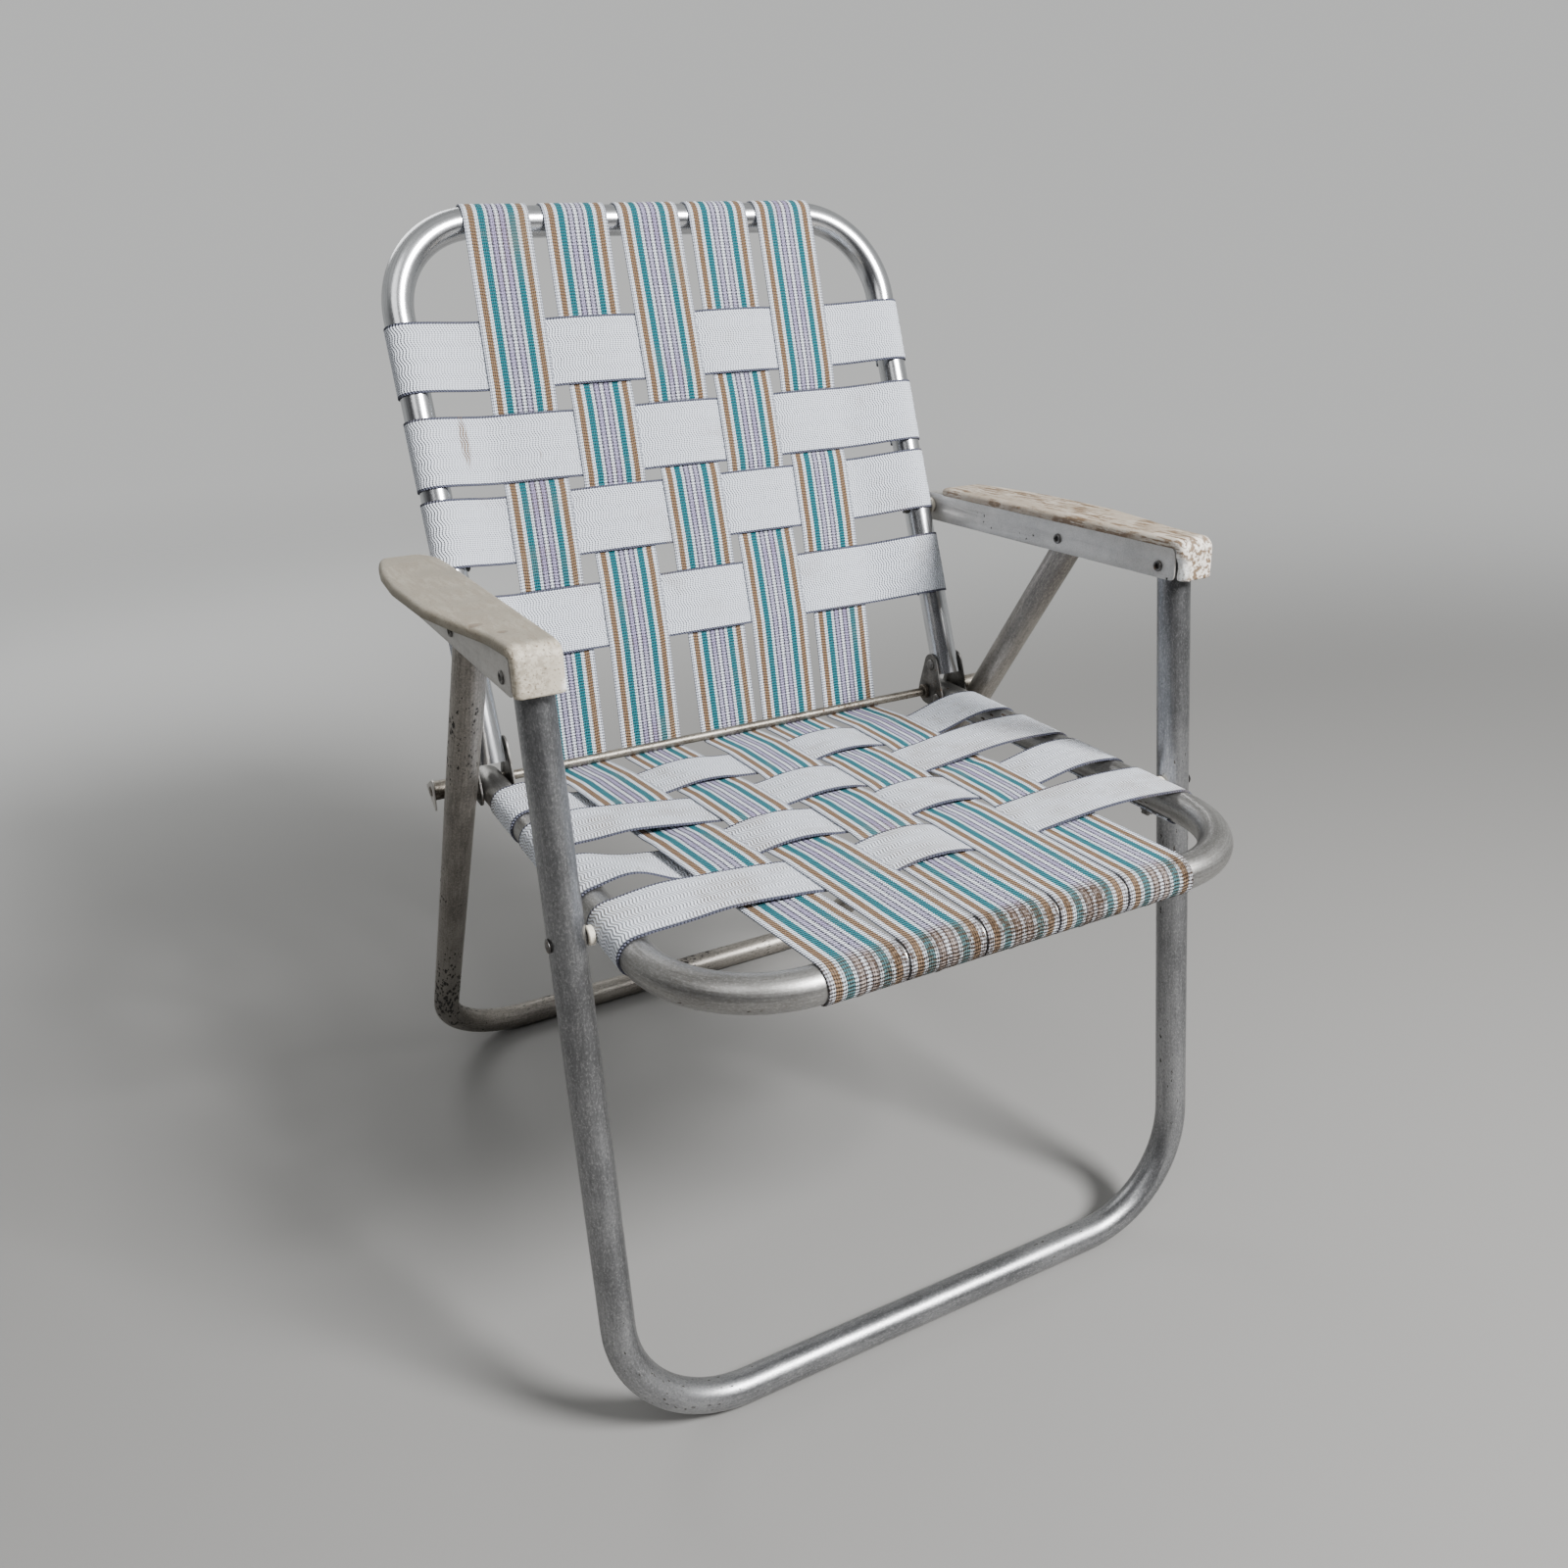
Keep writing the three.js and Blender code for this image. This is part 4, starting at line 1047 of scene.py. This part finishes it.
def crossStrap(planeName, row, place):
    settle = crossSettle[planeName]
    across = strapsAcross(planeName, place)
    line = crossLine(row, pulledDepth(planeName, place), across, settle)
    centres = np.column_stack([line[:, 0], np.full(len(line), place), line[:, 1]])
    runEnds = (across[0] - crossingHalf, across[-1] + crossingHalf)
    fromLeft = np.clip((line[:, 0] + frameHalf) / (runEnds[0] + frameHalf), 0, 1)
    fromRight = np.clip((frameHalf - line[:, 0]) / (frameHalf - runEnds[1]), 0, 1)
    tilt = pulledTilt(planeName) * eased(np.minimum(fromLeft, fromRight))
    turn = tilt + np.radians(settle["twists"][row]) * np.sin(np.pi * fromLeft) ** 2
    sideways = np.column_stack([np.zeros(len(line)), np.cos(turn), np.sin(turn)])
    strap, length = webbingStrip(f"{planeName}_white_webbing_{row + 1}", centres, sideways)
    standIn(strap, planes[planeName])
    standFor(strap, finishes["whiteWebbing"], f"{planeName}_cross_strap_{row + 1}")


for row, places in enumerate(zip(*webbing["rows"].values())):
    for planeName, place in zip(webbing["rows"], places):
        crossStrap(planeName, row, place)


# Lengthwise straps: over the top bar, down the back, behind and under the rod, and over the front bar
def wovenRun(planeName, strap):
    points = []
    for row, middle in enumerate(webbing["rows"][planeName]):
        lift = webbing["lift"] if lengthwiseOnTop(strap, row) else -webbing["lift"]
        for share in (1, 0, -1):
            place = middle + share * crossingHalf
            points.append(sidePoint(planes[planeName], place, pulledDepth(planeName, place) + lift))
    return points


def roundBar(planeName, fromAngle, toAngle):
    arc = arcPoints((webbing["bar"][planeName], 0), webbing["ride"], fromAngle, toAngle)
    return [sidePoint(planes[planeName], *point) for point in arc]


def lengthwiseLine(strap):
    overTop = roundBar("back", 90 - webbing["wrap"], 90)
    roundRod = arcPoints(rodPlace, webbing["rodRide"], *webbing["rodWrap"])
    overFront = roundBar("seat", 90, 90 + webbing["wrap"])
    line = overTop + wovenRun("back", strap) + roundRod + wovenRun("seat", strap) + overFront
    return settledLine(line, webbing["settle"])


def lengthwiseStrap(strap):
    line = lengthwiseLine(strap)
    lengths = lengthsAlong(line)
    atRod = lengths[np.argmin(np.linalg.norm(line - np.array(rodPlace), axis=1))]
    stations = (webbing["endRun"], atRod, lengths[-1] - webbing["endRun"])
    atBar = webbing["atBar"]
    middles = (atBar["back"][strap], webbing["atRod"][strap], atBar["seat"][strap])
    centres = np.column_stack([np.interp(lengths, stations, middles), line])
    sideways = np.tile((1.0, 0.0, 0.0), (len(line), 1))
    piece, length = webbingStrip(f"striped_webbing_{strap + 1}", centres, sideways)
    dress(piece, finishes["stripedWebbing"])
    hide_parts(f"back_long_strap_{strap + 1}", f"seat_long_strap_{strap + 1}")
    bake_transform(piece, "back", "seat", start=hingeRun["start"], end=hingeRun["end"])


for strap in range(len(webbing["atRod"])):
    lengthwiseStrap(strap)
print("webbing woven")

# A screw and washer through the end of every strap into its tube. The head is slotted
strapScrew = {
    "start": 0.0005, "washer": 0.0052, "washerThick": 0.0009, "head": 0.0036, "headHigh": 0.0024,
    "washerSteps": ((0, 1.0), (0.6, 1.0), (1.0, 0.94)),
    "headSteps": ((0, 1.0), (0.55, 1.0), (0.85, 0.84), (1.0, 0.55), (1.0, 0.05)),
    "slot": 0.0004, "slotDeep": 0.001, "topDepth": 0.0006, "seat": 0.0142, "fromEnd": 24,
}


def makeScrew():
    spec = strapScrew
    top = spec["washerThick"] + spec["headHigh"]
    washer = inSteps(0, spec["washerThick"], spec["washer"], spec["washerSteps"])
    head = inSteps(spec["washerThick"], spec["headHigh"], spec["head"], spec["headSteps"])
    screw = turnedPiece("strap_screw", [(0, spec["start"])] + washer + head, (0, 0, 0), sides=20)
    openMesh(screw)
    for edge in (-spec["slot"], spec["slot"]):
        bpy.ops.mesh.select_all(action="SELECT")
        bpy.ops.mesh.bisect(plane_co=(0, edge, 0), plane_no=(0, 1, 0))
    bpy.ops.object.mode_set(mode="OBJECT")
    for vertex in screw.data.vertices:
        inSlot = abs(vertex.co.y) < spec["slot"] * 1.01  # the two cuts and what lies between them
        if inSlot and vertex.co.x > top - spec["topDepth"]:
            vertex.co.x -= spec["slotDeep"]
    return screw


# The screw stands on the tube at a point of the frame's middle plane and heads straight out of it
def driveScrew(name, planeName, middle, heading):
    screw = newPiece(name, screwPattern.data)
    screw.location = Vector(middle) + Vector(heading) * strapScrew["seat"]
    screw.rotation_euler = Vector(heading).to_track_quat("X", "Z").to_euler()
    applyPlace(screw)
    standIn(screw, planes[planeName])
    dress(screw, finishes["darkSteel"])
    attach(screw, body_of(frame["nodes"][f"{planeName}_frame"])[0])


screwPattern = makeScrew()
crossTurn = math.radians(90 + webbing["crossWrap"] - strapScrew["fromEnd"])
for planeName, rows in webbing["rows"].items():
    for row, place in enumerate(rows):
        for side, sideName in sideNames.items():
            heading = (-side * math.cos(crossTurn), 0, math.sin(crossTurn))
            name = f"{planeName}_strap_screw_{row + 1}_{sideName}"
            driveScrew(name, planeName, (side * frameHalf, place, 0), heading)
for planeName, sign in (("back", -1), ("seat", 1)):
    turn = math.radians(90 + sign * (webbing["wrap"] - strapScrew["fromEnd"]))
    for strap, across in enumerate(webbing["atBar"][planeName]):
        heading = (0, math.cos(turn), math.sin(turn))
        middle = (across, webbing["bar"][planeName], 0)
        driveScrew(f"{planeName}_bar_screw_{strap + 1}", planeName, middle, heading)
bpy.data.objects.remove(screwPattern)
print("strap screws driven")

# Arm pads: a board that lies on the channel, its nose turned down in front.
# A grid is wrapped from the nose over the top to the rear, with rounded edges and short sides
padShape = {
    "centre": 0.2595, "front": -0.025, "rear": 0.297, "top": 0.0228, "noseBottom": -0.0092, "thick": 0.0072,
    "noseRound": 0.0095, "rearRound": 0.0045, "edgeRound": 0.0048, "shell": 0.0024, "rows": 120, "flats": 9,
    "settle": 0.002, "edgeReach": 12, "edgeAngles": (0, 22, 45, 68, 90), "wallStep": 0.75,
    "stations": (-0.025, -0.006, 0.020, 0.066, 0.112, 0.190, 0.240, 0.270, 0.287, 0.297),
    "outer": (0.0162, 0.0173, 0.0190, 0.0289, 0.0373, 0.0398, 0.0365, 0.0318, 0.0284, 0.0245),
    "inner": {
        -1: (0.0165, 0.0178, 0.0178, 0.0178, 0.0178, 0.0178, 0.0178, 0.0170, 0.0115, 0.0030),
        1: (0.0165, 0.0178, 0.0178, 0.0178, 0.0178, 0.0178, 0.0178, 0.0178, 0.0177, 0.0165),
    },
    "finish": {-1: "padLeft", 1: "padRight"},
}
# The broken corner of the right pad: where it ends, how deep it goes, and the beats of its ragged edge
padBreak = {
    "side": 1, "top": 0.0075, "rear": -0.012, "deep": 0.0028, "ragged": 0.0013,
    "alongBeat": 2900, "dropBeat": 1700, "skew": 900,
}


def padMiddleLine():
    shape = padShape
    nose = shape["noseRound"]
    tail = shape["rearRound"]
    line = [(shape["front"], shape["noseBottom"])]
    line += arcPoints((shape["front"] + nose, shape["top"] - nose), nose, 180, 90, 10)
    line += arcPoints((shape["rear"] - tail, shape["top"] - tail), tail, 90, 0, 15)
    line.append((shape["rear"], shape["top"] - shape["thick"]))
    return settledLine(line, shape["settle"])


# Across the pad, as (share of the width, inset, drop): a side wall, a rounded edge, the top, and back down
def padSection():
    shape = padShape
    edge = [(0, 0.0, shape["thick"]), (0, 0.0, shape["wallStep"] * shape["thick"])]
    for turn in np.radians(shape["edgeAngles"]):
        inset, drop = shape["edgeRound"] * (1 - np.cos(turn)), shape["edgeRound"] * (1 - np.sin(turn))
        edge.append((0, inset, drop))
    shares = np.linspace(0, 1, shape["flats"] + 2)[1:-1]
    top = [(share, shape["edgeRound"] * (1 - 2 * share), 0.0) for share in shares]
    return edge + top + [(1, -inset, drop) for _, inset, drop in reversed(edge)]


def padEdge(line, widths):
    return runningMean(np.interp(line[:, 0], padShape["stations"], widths), padShape["edgeReach"])


def brokenInset(side, share, reached, drop, y, z):
    if side != padBreak["side"] or share > 0 or z >= padBreak["top"] or y >= padBreak["rear"]:
        return 0.0
    beat = math.cos(drop * padBreak["dropBeat"] + reached * padBreak["skew"])
    return padBreak["deep"] + padBreak["ragged"] * math.sin(reached * padBreak["alongBeat"]) * beat


def armPad(side, sideName):
    shape = padShape
    line = padMiddleLine()
    lengths = lengthsAlong(line)
    along = headings(line)
    innerEdge = padEdge(line, shape["inner"][side])
    outerEdge = padEdge(line, shape["outer"])
    measures = np.column_stack([line, along[:, 1], -along[:, 0], -innerEdge, outerEdge])
    section = padSection()
    columns = len(section) - 1
    clearSelection()
    bpy.ops.mesh.primitive_grid_add(x_subdivisions=columns, y_subdivisions=shape["rows"], size=1)
    pad = nameNew(f"arm_pad_moulding_{sideName}")
    for vertex in pad.data.vertices:
        share, inset, drop = section[round((vertex.co.x + 0.5) * columns)]
        reached = (vertex.co.y + 0.5) * lengths[-1]
        y, z, inwardY, inwardZ, low, high = pointsAt(reached, lengths, measures)[0]
        across = shape["centre"] + mix(low, high, share) + inset
        across += brokenInset(side, share, reached, drop, y, z)
        vertex.co = (side * across, y + inwardY * drop, z + inwardZ * drop)
    pad.data.update()
    openMesh(pad)
    closeSeams()
    applyModifier(pad, "SOLIDIFY", thickness=shape["shell"], offset=-1)
    applyModifier(pad, "SUBSURF", levels=1, render_levels=1)
    standIn(pad, planes["arm"])
    shadeRound(pad, degrees=60)
    standFor(pad, finishes[shape["finish"][side]], f"arm_pad_{sideName}")


for side, sideName in sideNames.items():
    armPad(side, sideName)
print("arm pads moulded")

# Plates, clips and channels keep the CAD shape: a merged copy of each, its sharp edges broken
sheetPieces = {
    "hinge_plate_inner": {"finish": "darkSteel", "edge": 0.0004},
    "hinge_plate_outer": {"finish": "darkSteel", "edge": 0.0004},
    "rod_end_clip": {"finish": "channelSheet", "edge": 0.0003},
    "arm_channel": {"finish": "channelSheet", "edge": 0.0003},
}
flatWithin = math.radians(1)
sharpBeyond = math.radians(50)


def brokenEdges(node, finish, edge):
    piece = newPiece(f"{node}_sheet", frame["nodes"][node].data)
    openMesh(piece)
    bpy.ops.mesh.remove_doubles(threshold=mergeDistance)
    bpy.ops.mesh.dissolve_limited(angle_limit=flatWithin)
    bpy.ops.object.mode_set(mode="OBJECT")
    applyModifier(piece, "BEVEL", width=edge, segments=2, limit_method="ANGLE", angle_limit=sharpBeyond)
    shadeRound(piece, degrees=35)
    standFor(piece, finishes[finish], node)


for name, spec in sheetPieces.items():
    for sideName in sideNames.values():
        brokenEdges(f"{name}_{sideName}", **spec)
print("plates, clips and channels finished")

# Floor: paler where the key light gets weak, and fading out, so that no horizon crosses the chair
floorLook = {
    "tones": ((0.21, 0.206, 0.20), (0.24, 0.236, 0.229)), "far": (0.66, 0.66, 0.655),
    "size": 60, "rough": 0.6, "underKey": (0.95, -1.95, 0.0), "paler": (2.7, 4.7), "fade": (4.6, 1.2),
}
clearSelection()
bpy.ops.mesh.primitive_plane_add(size=floorLook["size"], location=(0, 0, 0))
floor = nameNew("pale_floor")
floorMaterial, floorTree, floorShader = newMaterial("paleFloor")
floorCloud = addNode(floorTree, "ShaderNodeTexNoise", {"Scale": 3.0, "Detail": 4.0})
floorTone = blendColour(floorCloud.outputs["Fac"], *floorLook["tones"])
floorPlace = coords(floorTree)["Object"]
farOff = ramp(distance(floorPlace, floorLook["underKey"]), *floorLook["paler"])
feed(floorShader, {
    "Base Color": blendColour(farOff, floorTone, floorLook["far"]), "Roughness": floorLook["rough"],
    "Alpha": ramp(distance(floorPlace, (0, 0, 0)), *floorLook["fade"]),
})
floor.data.materials.append(floorMaterial)

# Lights, all aimed at the seat
studio = {
    "key": {"place": (0.95, -1.95, 2.2), "size": 0.8, "power": 215},
    "fill": {"place": (-1.4, -1.3, 2.6), "size": 1.6, "power": 16},
    "rim": {"place": (-0.4, 2.3, 2.2), "size": 1.6, "power": 20},
}
aim = Vector((0, 0, 0.4))
for name, spec in studio.items():
    clearSelection()
    direction = aim - Vector(spec["place"])
    bpy.ops.object.light_add(
        type="AREA", location=spec["place"], rotation=direction.to_track_quat("-Z", "Y").to_euler(),
    )
    light = nameNew(f"{name}_light")
    light.data.shape = "DISK"
    light.data.size = spec["size"]
    light.data.energy = spec["power"]

# The room: pale behind the chair and overhead, dimmer in front and to the left, so that the tubes reflect a
# contrast. The camera itself sees one plain pale backdrop on every side
room = {
    "pale": (0.62, 0.63, 0.62), "dim": (0.045, 0.045, 0.05), "strength": 0.74,
    "backdrop": (0.60, 0.603, 0.596), "rightShare": 0.5, "upShare": 0.9, "facing": (-0.5, 0.35),
}
world = bpy.data.worlds.new("studio")
world.use_nodes = True
sky = world.node_tree
background = sky.nodes["Background"]
towards = axes(coords(sky)["Generated"])
facing = timesPlus(towards["Z"], room["upShare"], timesPlus(towards["X"], room["rightShare"], towards["Y"]))
feed(background, {
    "Color": blendColour(ramp(facing, *room["facing"]), room["dim"], room["pale"]),
    "Strength": room["strength"],
})
backdrop = addNode(sky, "ShaderNodeBackground", {"Color": room["backdrop"]})
seen = addNode(sky, "ShaderNodeMixShader", {
    "Fac": addNode(sky, "ShaderNodeLightPath").outputs["Is Camera Ray"],
    1: background.outputs["Background"], 2: backdrop.outputs["Background"],
})
feed(sky.nodes["World Output"], {"Surface": seen.outputs["Shader"]})
bpy.context.scene.world = world

cameraView = {
    "place": (-0.467, -0.9162, 0.8233), "azimuth": 27.36, "elevation": -23.11, "roll": -1.33, "lens": 29.61,
    "sensor": 36,
}
azimuth = math.radians(cameraView["azimuth"])
elevation = math.radians(cameraView["elevation"])
roll = math.radians(cameraView["roll"])
ahead = Vector((
    math.sin(azimuth) * math.cos(elevation), math.cos(azimuth) * math.cos(elevation), math.sin(elevation),
))
level = ahead.cross(Vector((0, 0, 1))).normalized()
upright = level.cross(ahead)
right = level * math.cos(roll) + upright * math.sin(roll)
up = upright * math.cos(roll) - level * math.sin(roll)
bpy.ops.object.camera_add(location=cameraView["place"])
camera = nameNew("photo_camera")
turned = Matrix((right, up, -ahead)).transposed().to_4x4()
camera.matrix_world = Matrix.Translation(cameraView["place"]) @ turned
camera.data.lens = cameraView["lens"]
camera.data.sensor_width = cameraView["sensor"]
bpy.context.scene.camera = camera
print("studio set")
